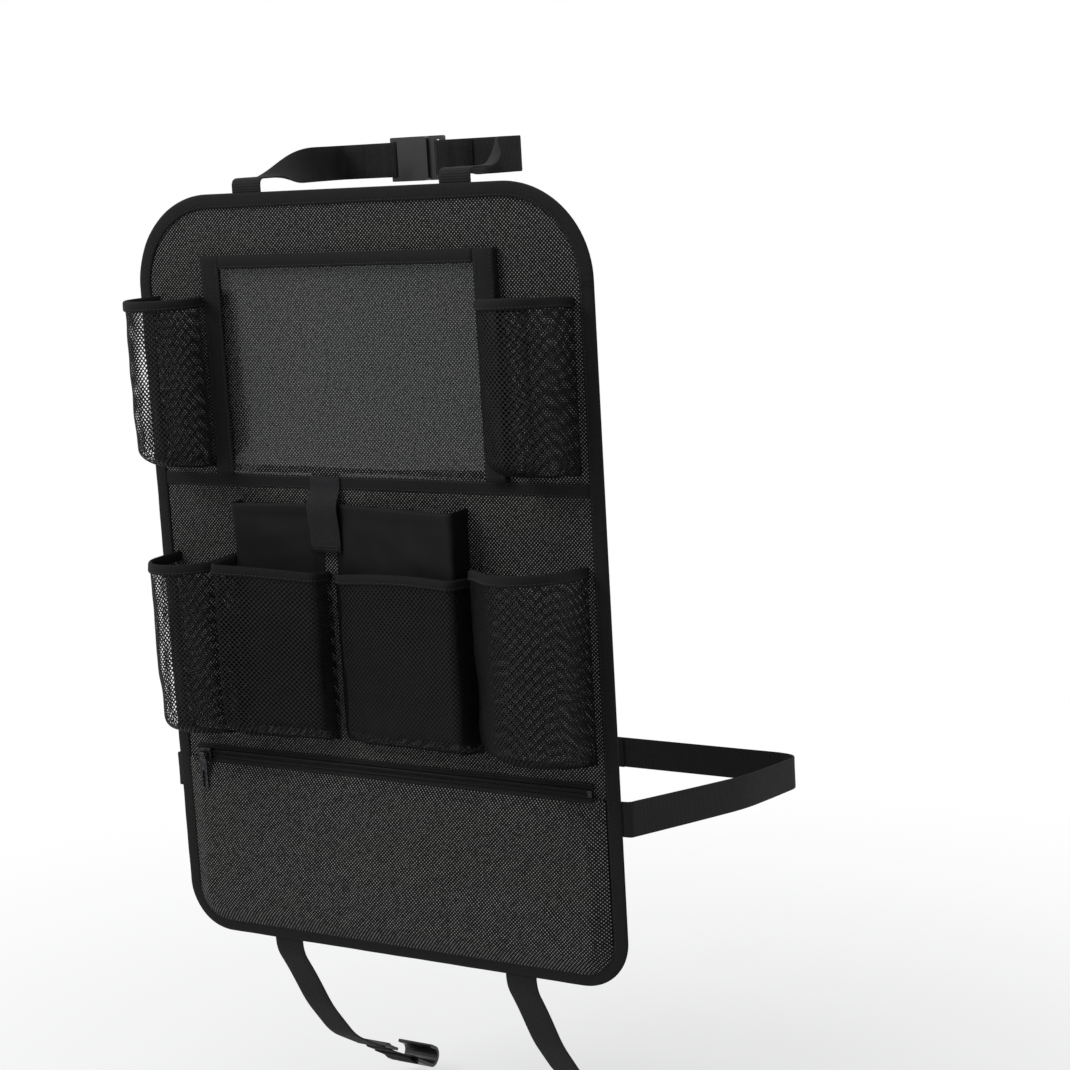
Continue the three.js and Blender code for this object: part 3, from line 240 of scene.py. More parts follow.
def linear(*srgb):
    """A colour socket's value from a screen colour of 0 to 255."""
    return [((c / 255 + 0.055) / 1.055) ** 2.4 if c > 10 else c / 255 / 12.92 for c in srgb] + [1]


class Nodes:
    """A small builder for the nodes of a material or of the world."""

    def __init__(self, name, world=False):
        self.owner = (bpy.data.worlds if world else bpy.data.materials).new(name)
        self.owner.use_nodes = True
        self.tree = self.owner.node_tree
        self.shader = self.tree.nodes["Background" if world else "Principled BSDF"]
        self.output = self.tree.nodes["World Output" if world else "Material Output"]

    def value(self, socket, source):
        """Links the source to the socket, or sets it where the source is a number or a colour."""
        if isinstance(source, bpy.types.NodeSocket):
            self.tree.links.new(source, socket)
        else:
            socket.default_value = source

    def add(self, kind, inputs=(), **settings):
        """A node with its settings, and with sources for inputs by their name or number."""
        node = self.tree.nodes.new(kind)
        for key, value in settings.items():
            setattr(node, key, value)
        for key, source in dict(inputs).items():
            self.value(node.inputs[key], source)
        return node

    def math(self, operation, a, b=0.0, c=0.0):
        return self.add("ShaderNodeMath", enumerate((a, b, c)), operation=operation).outputs[0]

    def times(self, a, b):
        return self.math("MULTIPLY", a, b)

    def place(self):
        return self.add("ShaderNodeTexCoord").outputs["Object"]

    def coordinates(self, kind):
        """The piece's own place, or its uv, both in metres."""
        source = self.add("ShaderNodeUVMap", uv_map="cloth").outputs[0] if kind == "uv" else self.place()
        return self.add("ShaderNodeSeparateXYZ", {0: source}).outputs

    def noise(self, scale, detail):
        """Noise of about 0.3 to 0.7 with that many waves to a metre."""
        sources = dict(Scale=scale, Detail=detail, Vector=self.place())
        return self.add("ShaderNodeTexNoise", sources).outputs[0]

    def wave(self, coordinate, pitch):
        """A cosine of the coordinate in metres, from -1 to 1, with that pitch."""
        return self.math("COSINE", self.times(coordinate, 2 * math.pi / pitch))

    def range(self, value, low, high, new_low=0.0, new_high=1.0):
        """The value brought smoothly from one range to another."""
        sources = enumerate((value, low, high, new_low, new_high))
        return self.add("ShaderNodeMapRange", sources, interpolation_type="SMOOTHSTEP").outputs[0]

    def mix(self, factor, a, b):
        return self.add("ShaderNodeMix", {0: factor, 6: a, 7: b}, data_type="RGBA").outputs[2]

    def bump(self, height, distance, strength):
        node = self.add("ShaderNodeBump", dict(Strength=strength, Distance=distance, Height=height))
        self.value(self.shader.inputs["Normal"], node.outputs[0])

    def finish(self, color, roughness, **sockets):
        for key, source in dict(Base_Color=color, Roughness=roughness, **sockets).items():
            self.value(self.shader.inputs[key.replace("_", " ")], source)
        return self.owner

    def blend(self, factor, first, second):
        """Shows two shader nodes, mixed by a factor."""
        mixed = self.add("ShaderNodeMixShader", {0: factor, 1: first.outputs[0], 2: second.outputs[0]})
        self.value(self.output.inputs["Surface"], mixed.outputs[0])

    def backdrop_rays(self):
        """1 for the rays that see the backdrop as plain white: to the eye, mirrored or let through."""
        path = self.add("ShaderNodeLightPath")
        eye, mirrored, let = (path.outputs[f"Is {kind} Ray"] for kind in ("Camera", "Glossy", "Transmission"))
        return self.math("MAXIMUM", eye, self.math("MAXIMUM", mirrored, let))


FLECK_PITCH = 0.0032  # metres, as all lengths inside materials


def woven_material():
    """Coarse cloth: pale flecks in staggered rows on near black, with a fine uneven yarn."""
    n = Nodes("woven_fabric")
    x, _, z = n.coordinates("object")
    wobble = n.times(n.math("SUBTRACT", n.noise(40.0, 1.0), 0.5), 0.0007)
    x, z = n.math("ADD", x, wobble), n.math("ADD", z, wobble)
    fleck = n.times(n.wave(x, FLECK_PITCH), n.wave(z, FLECK_PITCH))
    yarn = n.noise(900.0, 1.0)
    patch = n.noise(330.0, 2.0)
    bright = n.times(n.range(fleck, 0.36, 0.66), n.range(patch, 0.3, 0.62, 0.35))
    base = n.mix(n.range(yarn, 0.35, 0.7), linear(3, 3, 3), linear(11, 11, 12))
    color = n.mix(bright, base, linear(148, 147, 143))
    height = n.math("ADD", n.times(fleck, 0.5), n.times(yarn, 0.3))
    n.bump(height, 0.0005, 0.9)
    return n.finish(color, 0.85, Specular_IOR_Level=0.12)


def tape_material(name, dark, light, pitch=0.0011, along=1):
    """Woven tape with fine ribs; along is the uv direction that the ribs repeat in."""
    n = Nodes(name)
    uv = n.coordinates("uv")
    rib = n.wave(uv[along], pitch)
    cross = n.wave(uv[1 - along], pitch * 0.6)
    grain = n.noise(700.0, 2.0)
    weave = n.math("ADD", n.times(rib, 0.7), n.times(cross, 0.3))
    shade = n.range(n.math("MULTIPLY_ADD", grain, 1.2, n.times(weave, 0.35)), 0.1, 1.1)
    n.bump(weave, 0.00018, 0.8)
    return n.finish(n.mix(shade, linear(*dark), linear(*light)), 0.8, Specular_IOR_Level=0.18)


def cloth_material():
    """Plain cloth with a weave too fine to see apart."""
    n = Nodes("plain_cloth")
    uv = n.coordinates("uv")
    weave = n.times(n.wave(uv[0], 0.0007), n.wave(uv[1], 0.0007))
    patch = n.noise(35.0, 3.0)
    n.bump(weave, 0.00008, 0.5)
    color = n.mix(n.range(patch, 0.3, 0.7), linear(7, 7, 8), linear(14, 14, 15))
    return n.finish(color, 0.6, Specular_IOR_Level=0.12)


def net_material():
    """Twisted thread, a little uneven."""
    n = Nodes("mesh_net")
    grain = n.noise(1500.0, 1.0)
    n.bump(grain, 0.0002, 0.6)
    color = n.mix(n.range(grain, 0.3, 0.7), linear(6, 6, 7), linear(19, 19, 20))
    return n.finish(color, 0.5, Specular_IOR_Level=0.15)


def plastic_material(name, shade, roughness, gloss):
    """Moulded plastic with a fine grain, a little uneven in its shine."""
    n = Nodes(name)
    grain = n.noise(1800.0, 1.0)
    worn = n.noise(40.0, 2.0)
    n.bump(grain, 0.00004, 0.5)
    pale = linear(shade + 7, shade + 7, shade + 8)
    color = n.mix(n.range(worn, 0.35, 0.7), linear(shade, shade, shade), pale)
    rough = n.range(worn, 0.3, 0.7, roughness - 0.06, roughness + 0.08)
    return n.finish(color, rough, Specular_IOR_Level=gloss)


def metal_material():
    """Dark plated metal with bright worn spots."""
    n = Nodes("zip_metal")
    worn = n.noise(900.0, 2.0)
    color = n.mix(n.range(worn, 0.45, 0.75), linear(34, 34, 36), linear(82, 82, 86))
    n.bump(worn, 0.00002, 0.4)
    return n.finish(color, n.range(worn, 0.3, 0.7, 0.28, 0.42), Metallic=0.85)


MOST_MIRRORED = 0.045  # share of the light that the film mirrors at the most


def film_material():
    """Clear film: a little of the light is mirrored, the rest goes straight through."""
    n = Nodes("clear_film")
    ripple = n.add("ShaderNodeBump", dict(Distance=0.0008, Strength=0.3, Height=n.noise(9.0, 1.0))).outputs[0]
    gloss = n.add("ShaderNodeBsdfGlossy", dict(Roughness=0.16, Color=linear(236, 238, 240), Normal=ripple))
    through = n.add("ShaderNodeBsdfTransparent", dict(Color=linear(245, 246, 247)))
    edge = n.add("ShaderNodeFresnel", dict(IOR=1.4, Normal=ripple))
    n.blend(n.math("MINIMUM", edge.outputs[0], MOST_MIRRORED), through, gloss)
    n.tree.nodes.remove(n.shader)
    return n.owner


WOVEN = woven_material()
TAPE = tape_material("binding_tape", (7, 7, 8), (23, 23, 24))
HEM = tape_material("hem_tape", (6, 6, 7), (18, 18, 19), pitch=0.0009)
WEBBING = tape_material("webbing", (10, 10, 11), (31, 31, 33), pitch=0.0021)
RIBBED = tape_material("ribbed_tape", (13, 13, 14), (36, 36, 38), pitch=0.0016, along=0)
CLOTH = cloth_material()
NET = net_material()
PLASTIC = plastic_material("moulded_plastic", 17, 0.42, 0.5)
COIL = plastic_material("zip_coil", 8, 0.55, 0.22)
METAL = metal_material()
FILM = film_material()
THREAD = tape_material("thread", (30, 30, 31), (58, 58, 60), pitch=0.0006)

# Panel and its tapes

def half_width(z, w=PANEL_W / 2, h=PANEL_H / 2, top=TOP_R, foot=FOOT_R):
    """Half the width of the panel's outline at a height."""
    z = np.asarray(z, float)
    over = np.clip(z - (h - top), 0, top)
    under = np.clip((foot - h) - z, 0, foot)
    return w - (top - np.sqrt(top ** 2 - over ** 2)) - (foot - np.sqrt(foot ** 2 - under ** 2))


def rows_between(low, high, low_r, high_r, step):
    """Heights between two ends, which crowd together in the rounded corners."""
    turned = 1 - np.cos(np.linspace(0, math.pi / 2, 12))
    middle = np.arange(low + low_r, high - high_r, step)
    return np.unique(np.round([*(low + low_r * turned), *middle, *(high - high_r * turned)], 6))


def edge_distance(x, z, w=PANEL_W / 2, h=PANEL_H / 2, top=TOP_R, foot=FOOT_R):
    """How far points lie inside the panel's outline."""
    inset = np.minimum(w - np.abs(x), h - np.abs(z))
    for r, way in ((top, 1), (foot, -1)):
        cx, cz = np.abs(x) - (w - r), way * z - (h - r)
        corner = (cx > 0) & (cz > 0)
        inset = np.where(corner, r - np.hypot(np.maximum(cx, 0), np.maximum(cz, 0)), inset)
    return inset


def bed_distance(x, z):
    """How far points lie from the nearest webbing end that is sewn to the back."""
    ends = (
        (TOP_STRAP_X, PANEL_H / 2, WEB_W / 2, SEWN_L), (FOOT_STRAP_X, -PANEL_H / 2, WEB_W / 2, SEWN_L),
        (PANEL_W / 2, BELT_Z, SEWN_L, WEB_W / 2),
    )
    return np.min([
        np.hypot(np.maximum(np.abs(np.abs(x) - cx) - wide, 0), np.maximum(np.abs(z - cz) - tall, 0))
        for cx, cz, wide, tall in ends
    ], axis=0)


def panel_piece():
    """Padded cloth, pressed thin along its edge and where webbing is sewn on behind."""
    zs = rows_between(-PANEL_H / 2, PANEL_H / 2, FOOT_R, TOP_R, 4)
    s = np.linspace(-1, 1, 131)
    x, z = s * half_width(zs)[:, None], zs[:, None]
    inset = edge_distance(x, z)
    soft = smooth((inset - BINDING_W) / 30)
    front = joined(x, FACE - 0.35 * soft * (1 + waves(x, z, 3, 160)), z)
    pressed = smooth(np.minimum(inset - BINDING_W - GAP, bed_distance(x, z) - 1) / 8)
    back = joined(x, BED - BED * pressed, z)
    points, faces = shell(front, back)
    piece = add_piece("panel", points, faces, WOVEN, replaces=["back_panel"])


def tape_piece(name, node, rings, flipped=False, closed=False, material=TAPE):
    """A tape from its sections, which run the other way round where it is the mirror of another."""
    points, faces, uv = loft([ring[::-1] for ring in rings] if flipped else rings, closed)
    add_piece(name, points, faces, material, replaces=[node], uv=uv)


CORNER_STEPS, EDGE_STEP = 26, 6


def outline(inset):
    """The panel's outline drawn in by an inset, as evenly spread points (x, z)."""
    w, h = PANEL_W / 2 - inset, PANEL_H / 2 - inset
    top, foot = TOP_R - inset, FOOT_R - inset
    points = []
    for cx, cz, r, start in (
        (w - top, h - top, top, 0), (top - w, h - top, top, 1), (foot - w, foot - h, foot, 2),
        (w - foot, foot - h, foot, 3),
    ):
        for turn in np.linspace(0, math.pi / 2, CORNER_STEPS):
            angle = start * math.pi / 2 + turn
            points.append((cx + r * math.cos(angle), cz + r * math.sin(angle)))
    out = []
    for a, b in zip(np.array(points), np.roll(points, -1, axis=0)):
        count = max(1, int(np.linalg.norm(b - a) / EDGE_STEP))
        out += [a + (b - a) * k / count for k in range(count)]
    return np.array(out)


def binding_piece():
    """Tape folded round the edge: a U section carried round the outline."""
    edge = outline(0)
    tangent = unit(np.roll(edge, -1, axis=0) - np.roll(edge, 1, axis=0))
    inward = tangent[:, ::-1] * (-1, 1)
    run = lengths(np.vstack([edge, edge[:1]]))
    turn = 2 * math.pi * run[:-1] / run[-1]
    ripple = np.sin(turn * 61) * 0.12 + np.sin(turn * 23) * 0.15
    out, face, back = -GAP - BINDING_T, FACE - GAP - BINDING_T, BED + GAP + BINDING_T
    sewn = smooth(bed_distance(*edge.T) / 3)
    section = [
        (BINDING_LIP, face + 0.5), (BINDING_LIP - 0.6, face + 0.05), (6, face - 0.15), (2, face),
        (out + 0.9, face + 0.5), (out + 0.1, face + 1.4), (out, (face + back) / 2), (out + 0.1, back - 1.4),
        (out + 0.9, back - 0.4), (2, back), (BINDING_W - 0.6, back), (BINDING_W, back - 0.4),
        (BINDING_W, BED + GAP), (0.5, BED + GAP), (-GAP, BED), (-GAP, FACE), (0.5, FACE - GAP),
        (BINDING_LIP, FACE - GAP),
    ]
    thin = BED + 0.06

    def pressed(i, y):
        """The front ripples; the back is pressed thin where webbing crosses it."""
        if y < FACE:
            return y - ripple[i]
        return y if y < BED else thin + (y - thin) * sewn[i]

    rings = np.array([
        [[edge[i, 0] + inward[i, 0] * d, pressed(i, y), edge[i, 1] + inward[i, 1] * d] for d, y in section]
        for i in range(len(edge))
    ])
    tape_piece("binding", "edge_binding", rings, closed=True)
    line = outline(BINDING_LIP - 2)
    line = np.vstack([line, line[:1]])
    route = joined(line[:, 0], face - 0.12, line[:, 1])
    stitches.line(route, np.tile(OUT, (len(route), 1)))


INNER = PANEL_W / 2 - BINDING_LIP  # half the width between the binding's fronts
CROSS_Z, CROSS_W, CROSS_T, CROSS_STEP = up(415.5), 11, 1.2, 4


def cross_band():
    """The flat tape under the window, with soft edges and a stitch line along each."""
    half, t, reach = CROSS_W / 2, CROSS_T, INNER - GAP
    section = [
        (-half, 0), (-half, 0.55 * t), (-half + 0.5, 0.92 * t), (-half + 2, t), (0, t), (half - 2, t),
        (half - 0.5, 0.92 * t), (half, 0.55 * t), (half, 0), (0, 0),
    ]
    rings = []
    for x in np.linspace(-reach, reach, int(2 * reach / CROSS_STEP)):
        lift = 0.15 * waves(x + reach, 0, 1, 60)
        rings.append([(x, FACE - v - (lift if v > 0.5 * t else 0), CROSS_Z + u) for u, v in section])
    tape_piece("cross_band", "cross_tape", rings)
    for z in (CROSS_Z - 4.2, CROSS_Z + 4.2):
        stitches.straight((2 - INNER, FACE - 1.25, z), (INNER - 2, FACE - 1.25, z))


# The pockets' walls

TOE_START, TOE_SHARE = math.radians(8), 0.3  # the wall's slope at its foot, and how much of it bends
NET_T, CLOTH_T, HEM_T, HEM_H = 1.2, 1.2, 1.0, 9.0
PEG_STEP = math.radians(6)
WALL_STEP = 2.5 / math.sqrt(2)  # between the points of tape and cloth
TUCKS, TUCK_H = 9, 52  # how many gathers a foot has, and how high they reach


def wrap(pegs):
    """A pocket's plan, (x, depth), as a band stretched over pegs (x, depth, radius)."""
    turns = []
    for (ax, ad, ar), (bx, bd, br) in zip(pegs, pegs[1:]):
        span = math.hypot(bx - ax, bd - ad)
        turns.append(math.atan2(bd - ad, bx - ax) + math.acos((ar - br) / span))
    points = [pegs[0][:2]]
    for i in range(1, len(pegs) - 1):
        x, d, r = pegs[i]
        count = max(2, math.ceil((turns[i - 1] - turns[i]) / PEG_STEP))
        for angle in np.linspace(turns[i - 1], turns[i], count + 1):
            points.append((x + r * math.cos(angle), d + r * math.sin(angle)))
    points.append(pegs[-1][:2])
    return np.array(points)


class Bag:
    """A pocket's wall: a plan from seam to seam, with a rounded foot.

    toe is the height of the foot's bend, pull how far the foot draws in to x = middle, slack and tuck
    the depth of the waves and gathers, and rim how far the mouth is raised at its start, half and end.
    """

    def __init__(self, pegs, foot, mouth, toe, pull, middle, seed, slack=1.0, tuck=2.4, rim=(0, 0, 0)):
        self.plan = respaced(wrap(pegs), 1.0)
        self.run = lengths(self.plan)
        self.length = self.run[-1]
        self.foot, self.mouth, self.toe, self.pull, self.middle = up(foot), up(mouth), toe, pull, middle
        self.seed, self.slack, self.tuck, self.rim = seed, slack, tuck, rim
        tangent = unit(np.gradient(self.plan, axis=0))
        for _ in range(3):
            tangent[1:-1] = (tangent[:-2] + tangent[1:-1] + tangent[2:]) / 3
        self.out = tangent[:, ::-1] * (-1, 1)
        self.depth = self.plan[:, 1].max()
        self.shares = np.linspace(0, 1, 200)
        sine, level = self.profile(self.shares)
        self.rise = lengths(joined(0.6 * self.depth * sine, level))
        self.height = self.rise[-1]

    def profile(self, v):
        """How far the wall stands out, as a share of its plan, and its height at shares v of its run."""
        bend = np.clip(v / TOE_SHARE, 0, 1)
        angle = TOE_START + (math.pi / 2 - TOE_START) * bend
        level = self.foot + self.toe * (1 - np.cos(angle))
        rest = np.clip((v - TOE_SHARE) / (1 - TOE_SHARE), 0, 1)
        return np.sin(angle), level + rest * (self.mouth - level)

    def columns(self):
        """Lengths along the plan at which tape and cloth have their points."""
        return np.linspace(0, self.length, round(self.length / WALL_STEP) + 1)

    def at(self, s, t, inset=0.0):
        """Points at lengths s along the plan and t up the wall, drawn in by an inset."""
        s, t = np.asarray(s, float), np.asarray(t, float)
        v = np.interp(t, self.rise, self.shares)
        x, d = (np.interp(s, self.run, self.plan[:, k]) for k in range(2))
        ox, od = (np.interp(s, self.run, self.out[:, k]) for k in range(2))
        sine, level = self.profile(v)
        u, seam = s / self.length, np.minimum(s, self.length - s)
        loose = smooth(seam / 14) * smooth(t / 30) * smooth((self.height - t) / 25 + 0.25)
        sag = self.slack * loose * waves(s, t, self.seed, 90)
        tuck = smooth(t / 7) * (1 - np.clip(t / TUCK_H, 0, 1)) ** 1.6 * smooth(seam / 10)
        sag = sag - self.tuck * tuck * (0.5 + 0.5 * np.cos(2 * math.pi * TUCKS * u + self.seed))
        x, d = x + ox * (sag - inset), d + od * (sag - inset)
        drawn = self.pull * (1 - sine) * np.minimum(1, np.maximum(d, 0) / (self.depth / 2))
        x = x - (x - self.middle) * drawn
        start, half, end = self.rim
        raised = start * (1 - u) * (1 - 2 * u) + 4 * half * u * (1 - u) + end * u * (2 * u - 1)
        z = level + inset * (1 - sine) + raised * t / self.height
        return joined(x, FACE - np.maximum(d, 0.1) * sine, z)


PITCH, THREAD_W, THREAD_T = 4.4, 0.756, 0.55  # of the net; the width is from a hole to a thread's middle


def net(bag):
    """An open net over the wall: six sided holes in staggered rows, with real thickness."""
    columns, rows = round(bag.length / PITCH), round(bag.height / (PITCH / 2))
    du, dv = bag.length / columns, bag.height / rows
    a, b = du / 2 - THREAD_W, dv - THREAD_W
    c = 0.28 * b
    corners = [(a, c), (0, b), (-a, c), (-a, -c), (0, -b), (a, -c)]
    index, points = {}, []

    def hole(i, j):
        """The first of the six corners of hole i in row j, with holes cut off at the wall's edges."""
        if (i, j) not in index:
            index[i, j] = len(points)
            cu, cv = (i + j % 2 / 2) * du, j * dv
            for x, y in corners:
                points.append((min(max(cu + x, 0), bag.length), min(max(cv + y, 0), bag.height)))
        return index[i, j]

    faces, walls = [], []
    for j in range(-1, rows + 2):
        for i in range(-1, columns + 2):
            here, right, left = hole(i, j), hole(i + j % 2, j + 1), hole(i + j % 2 - 1, j + 1)
            above = hole(i, j + 2)
            faces += [
                (here, right + 4, right + 3, here + 1), (here + 1, left + 5, left + 4, here + 2),
                (here + 1, right + 3, right + 2, above + 4, left, left + 5),
            ]
            walls.append(here)
    flat = np.array(points)
    faces = [f for f in faces if np.ptp(flat[list(f)], axis=0).min() > 0.05]  # not those cut to nothing
    outer, inner = (bag.at(*flat.T, (NET_T + way * THREAD_T) / 2) for way in (-1, 1))
    count = len(flat)
    both = renumbered(faces, flip=True) + renumbered(faces, count)
    for first in walls:
        if np.ptp(flat[first:first + 6], axis=0).min() >= 0.5:
            for k in range(6):
                p, q = first + k, first + (k + 1) % 6
                both.append((p, q, q + count, p + count))
    return np.concatenate([outer, inner]), both


def net_piece(name, bag):
    points, faces = net(bag)
    piece = add_piece(f"{name}_net", points, faces, NET, replaces=[name])


def hem_piece(name, bag):
    """Tape folded over the rim of a pocket."""
    s, top, low = bag.columns(), bag.height, bag.height - HEM_H + 1.3
    out, inn = -GAP - HEM_T, NET_T + GAP + HEM_T
    section = [
        (out + 0.5, low), (out + 0.05, low + 0.5), (out - 0.1, low + 4), (out + 0.1, top - 0.4),
        (out + 0.9, top + 0.9), (NET_T / 2, top + 1.3), (inn - 0.9, top + 0.9), (inn - 0.1, top - 0.4),
        (inn, low + 4), (inn - 0.1, low + 0.5), (inn - 0.5, low), (NET_T + GAP, low), (NET_T + GAP, top),
        (-GAP, top), (-GAP, low),
    ]
    rings = []
    for d, t in section:
        base = bag.at(s, min(t, top), d)
        base[:, 2] += max(t - top, 0)
        rings.append(base)
    rings = np.array(rings).transpose(1, 0, 2)
    rings[..., 1] = np.minimum(rings[..., 1], FACE)
    tape_piece(f"{name}_rim", f"{name}_hem", rings, material=HEM)
    line, off = (bag.at(s, low + 2, out - away) for away in (0.1, 1.1))
    stitches.line(line[2:-2], (off - line)[2:-2])


def cloth_piece(name, bag):
    """A pocket of plain cloth, turned over to a thicker rim at its mouth."""
    s, t = np.meshgrid(bag.columns()[::-1], np.linspace(0, bag.height, 60))
    rim = 0.7 * smooth((t - bag.height + HEM_H) / 1.5)
    points, faces = shell(bag.at(s, t, -rim), bag.at(s, t, CLOTH_T))
    uv = joined(s, t).reshape(-1, 2) * MM
    piece = add_piece(
        f"{name}_cloth", points, faces, CLOTH, replaces=[name], uv=np.vstack([uv, uv]))


stitches = Stitches()
panel_piece()
binding_piece()
cross_band()

# Pockets: pegs as in the solids, and heights over the panel's foot

UPPER = dict(foot=427, mouth=575, toe=22, pull=0.5)
LOWER = dict(foot=190, mouth=349, toe=24, pull=0.14)
CLOTH_BAG = dict(foot=197, mouth=398, toe=20, pull=0.14, slack=0.8, tuck=0)
SEAM, MIDDLE_LEFT, MIDDLE_RIGHT = 207.5, -90.6, 30.6  # x of the outer seams and of the middle pockets
MESH_POCKETS = {
    "left_bottle_pocket": Bag(
        [(-SEAM, 0, 0), (-176, 33.2, 32), (-164, 0, 0)], **UPPER, middle=-176, seed=11),
    "right_bottle_pocket": Bag(
        [(164, 0, 0), (176, 33.2, 32), (SEAM, 0, 0)], **UPPER, middle=176, seed=12, rim=(-11, -2.5, -7)),
    "can_pocket": Bag(
        [(-SEAM, 0, 0), (-174, 32.7, 31.5), (-146, 0, 0)], **LOWER, middle=-174, seed=13),
    "phone_pocket": Bag(
        [(-137, 0, 0), (-130, 41, 7), (-51.2, 20, 7), (-44.2, 0, 0)], **LOWER, middle=MIDDLE_LEFT, seed=14,
        rim=(2, -3, -11.5)),
    "glasses_pocket": Bag(
        [(-39.8, 0, 0), (-14.8, 19, 7), (94, 30, 7), (101, 0, 0)], **LOWER, middle=MIDDLE_RIGHT, seed=15,
        rim=(-13, -5, -9)),
    "flask_pocket": Bag(
        [(105.4, 0, 0), (112.4, 13, 7), (173, 37.2, 36), (SEAM, 0, 0)], **LOWER, middle=173, seed=16,
        rim=(-3.5, 9, 3.5)),
}
for name, bag in MESH_POCKETS.items():
    net_piece(name, bag)
    hem_piece(name, bag)

CLOTH_POCKETS = {
    "tissue_pocket": Bag(
        [(-133.6, 0, 0), (-130.1, 12.5, 3.5), (-59, 1.5, 3.5), (-47.6, 0, 0)], **CLOTH_BAG,
        middle=MIDDLE_LEFT, seed=21),
    "papers_pocket": Bag(
        [(-36.4, 0, 0), (-25, 1.5, 3.5), (94.1, 23.5, 3.5), (97.6, 0, 0)], **CLOTH_BAG,
        middle=MIDDLE_RIGHT, seed=22),
}
for name, bag in CLOTH_POCKETS.items():
    cloth_piece(name, bag)

# Webbing: the same routes as the solids, on finer steps

BAR_T, BAR_SLOT = 3.5, 5.2  # the bar at a buckle's or hook's end, and the slot behind it
TAIL_L, OVER_RUN, CLOSE_RUN, TAIL_BEND = 18, 4, 11, 1.3
TONGUE_T, HOOK_T, GLIDE_T, GLIDE_BAR, GLIDE_SLOT, GLIDE_END = 5, 3.2, 2.6, 3, 6, 3.5
TONGUE_END, SOCKET_END = 6 + BAR_T + BAR_SLOT, 31 + BAR_T + BAR_SLOT  # from x = 0 to each bar's edge
GLIDE_LIFT = GLIDE_T / 2 + GAP + WEB_T / 2
X, Y, Z = np.eye(3)


def rounded(points, radius, steps=8, first=None):
    """The route with each inner corner, but for the first one, bent from a radius before it."""
    points = [np.asarray(p, float) for p in points]
    route = [points[0]]
    for i, (before, corner, after) in enumerate(zip(points, points[1:], points[2:])):
        most = first if first and i == 0 else radius
        start, end = (
            corner + unit(p - corner) * min(most, 0.48 * np.linalg.norm(p - corner)) for p in (before, after))
        for t in np.linspace(0, 1, steps + 1):
            route.append((1 - t) ** 2 * start + 2 * t * (1 - t) * corner + t * t * end)
    return route + [points[-1]]


def doubled(origin, away, normal, bar_depth):
    """Points of webbing that comes in, goes round a bar and lies back on itself."""
    over, close, slot = bar_depth / 2 + GAP + WEB_T / 2, WEB_T / 2 + GAP / 2, -BAR_T - BAR_SLOT / 2
    offsets = [
        (CLOSE_RUN, close), (OVER_RUN, over), (slot, over), (slot, -over), (OVER_RUN, -over),
        (CLOSE_RUN, -close), (CLOSE_RUN + TAIL_L, -close),
    ]
    return [origin + away * a + normal * h for a, h in offsets]


def through_glide(centre, along, normal):
    """Points of webbing that comes up through a glide's slot, over its bar and down again."""
    top, low = GLIDE_BAR / 2 + 0.7, GLIDE_BAR / 2 + GLIDE_SLOT - 0.4
    away, high = low + GLIDE_END + 4, 2 * GLIDE_LIFT
    offsets = [(-away, 0), (-low, 0), (-top, high), (top, high), (low, 0), (away, 0)]
    return [centre + along * a + normal * h for a, h in offsets]


def webbing(name, node, route, width_at, width=WEB_W, thickness=WEB_T, material=WEBBING):
    """Webbing along a route. width_at gives its width's direction at each of the route's points."""
    apart = np.linalg.norm(np.diff(route, axis=0), axis=1) > 1e-4
    order = np.flatnonzero([True, *apart])
    route = np.array(route)[order]
    ways = [unit(v) for v in np.diff(route, axis=0)]
    half, t = width / 2, thickness / 2
    upper = [
        (-half + 0.15, 0.6 * t), (-half + 0.9, t), (-half / 2, t), (0, t), (half / 2, t), (half - 0.9, t),
        (half - 0.15, 0.6 * t),
    ]
    section = [(-half, 0), *upper, (half, 0), *((u, -v) for u, v in reversed(upper))]
    rings = []
    for i, point in enumerate(route):
        into, out = ways[max(i - 1, 0)], ways[min(i, len(ways) - 1)]
        tangent = unit(into + out)
        across = width_at(order[i])
        across = unit(across - tangent * (across @ tangent))
        normal = np.cross(tangent, across)
        lean = max(tangent @ into, 0.6)
        rings.append([point + across * u + normal * v / lean for u, v in section])
    points, faces, uv = loft(rings)
    add_piece(name, points, faces, material, replaces=[node], uv=uv)


POST_X, POST_Y, POST_R = 84, 118, 9  # the headrest's posts


def headrest_strap(name, side, bar_edge):
    """From the panel's back up over the seat, turned on edge by a twist, then round a post."""
    x0, seat_top, on_edge = TOP_STRAP_X, PANEL_H / 2 + 13, PANEL_H / 2 + 21
    clear, steps = POST_R + GAP + WEB_T / 2, 30
    outside, front = POST_X + clear, POST_Y + clear
    sewn = [vec(x0, BACK_LAY, PANEL_H / 2 - SEWN_L), vec(x0, BACK_LAY, seat_top), vec(x0, 34, seat_top)]
    rise = rounded(sewn, 6.5)
    a, b, end = vec(x0, 61, seat_top), vec(outside, 61, on_edge), vec(outside, 88, on_edge)
    twist = [
        (1 - t) ** 3 * rise[-1] + 3 * t * (1 - t) * ((1 - t) * a + t * b) + t ** 3 * end
        for t in np.linspace(0, 1, steps + 1)
    ]
    bend = rounded([end, vec(outside, front, on_edge), vec(outside - 18, front, on_edge)], clear)
    tail = rounded([bend[-1], *doubled(vec(bar_edge, front, on_edge), X, Y, TONGUE_T)], TAIL_BEND)[1:]
    route = [p * vec(side, 1, 1) for p in [*rise[:-1], *twist[:-1], *bend, *tail]]
    first = len(rise) - 1

    def width_at(i):
        turn = np.clip((i - first) / steps, 0, 1) * math.pi / 2
        return vec(math.cos(turn), 0, math.sin(turn) * side)

    webbing(f"{name}_webbing", name, route, width_at)


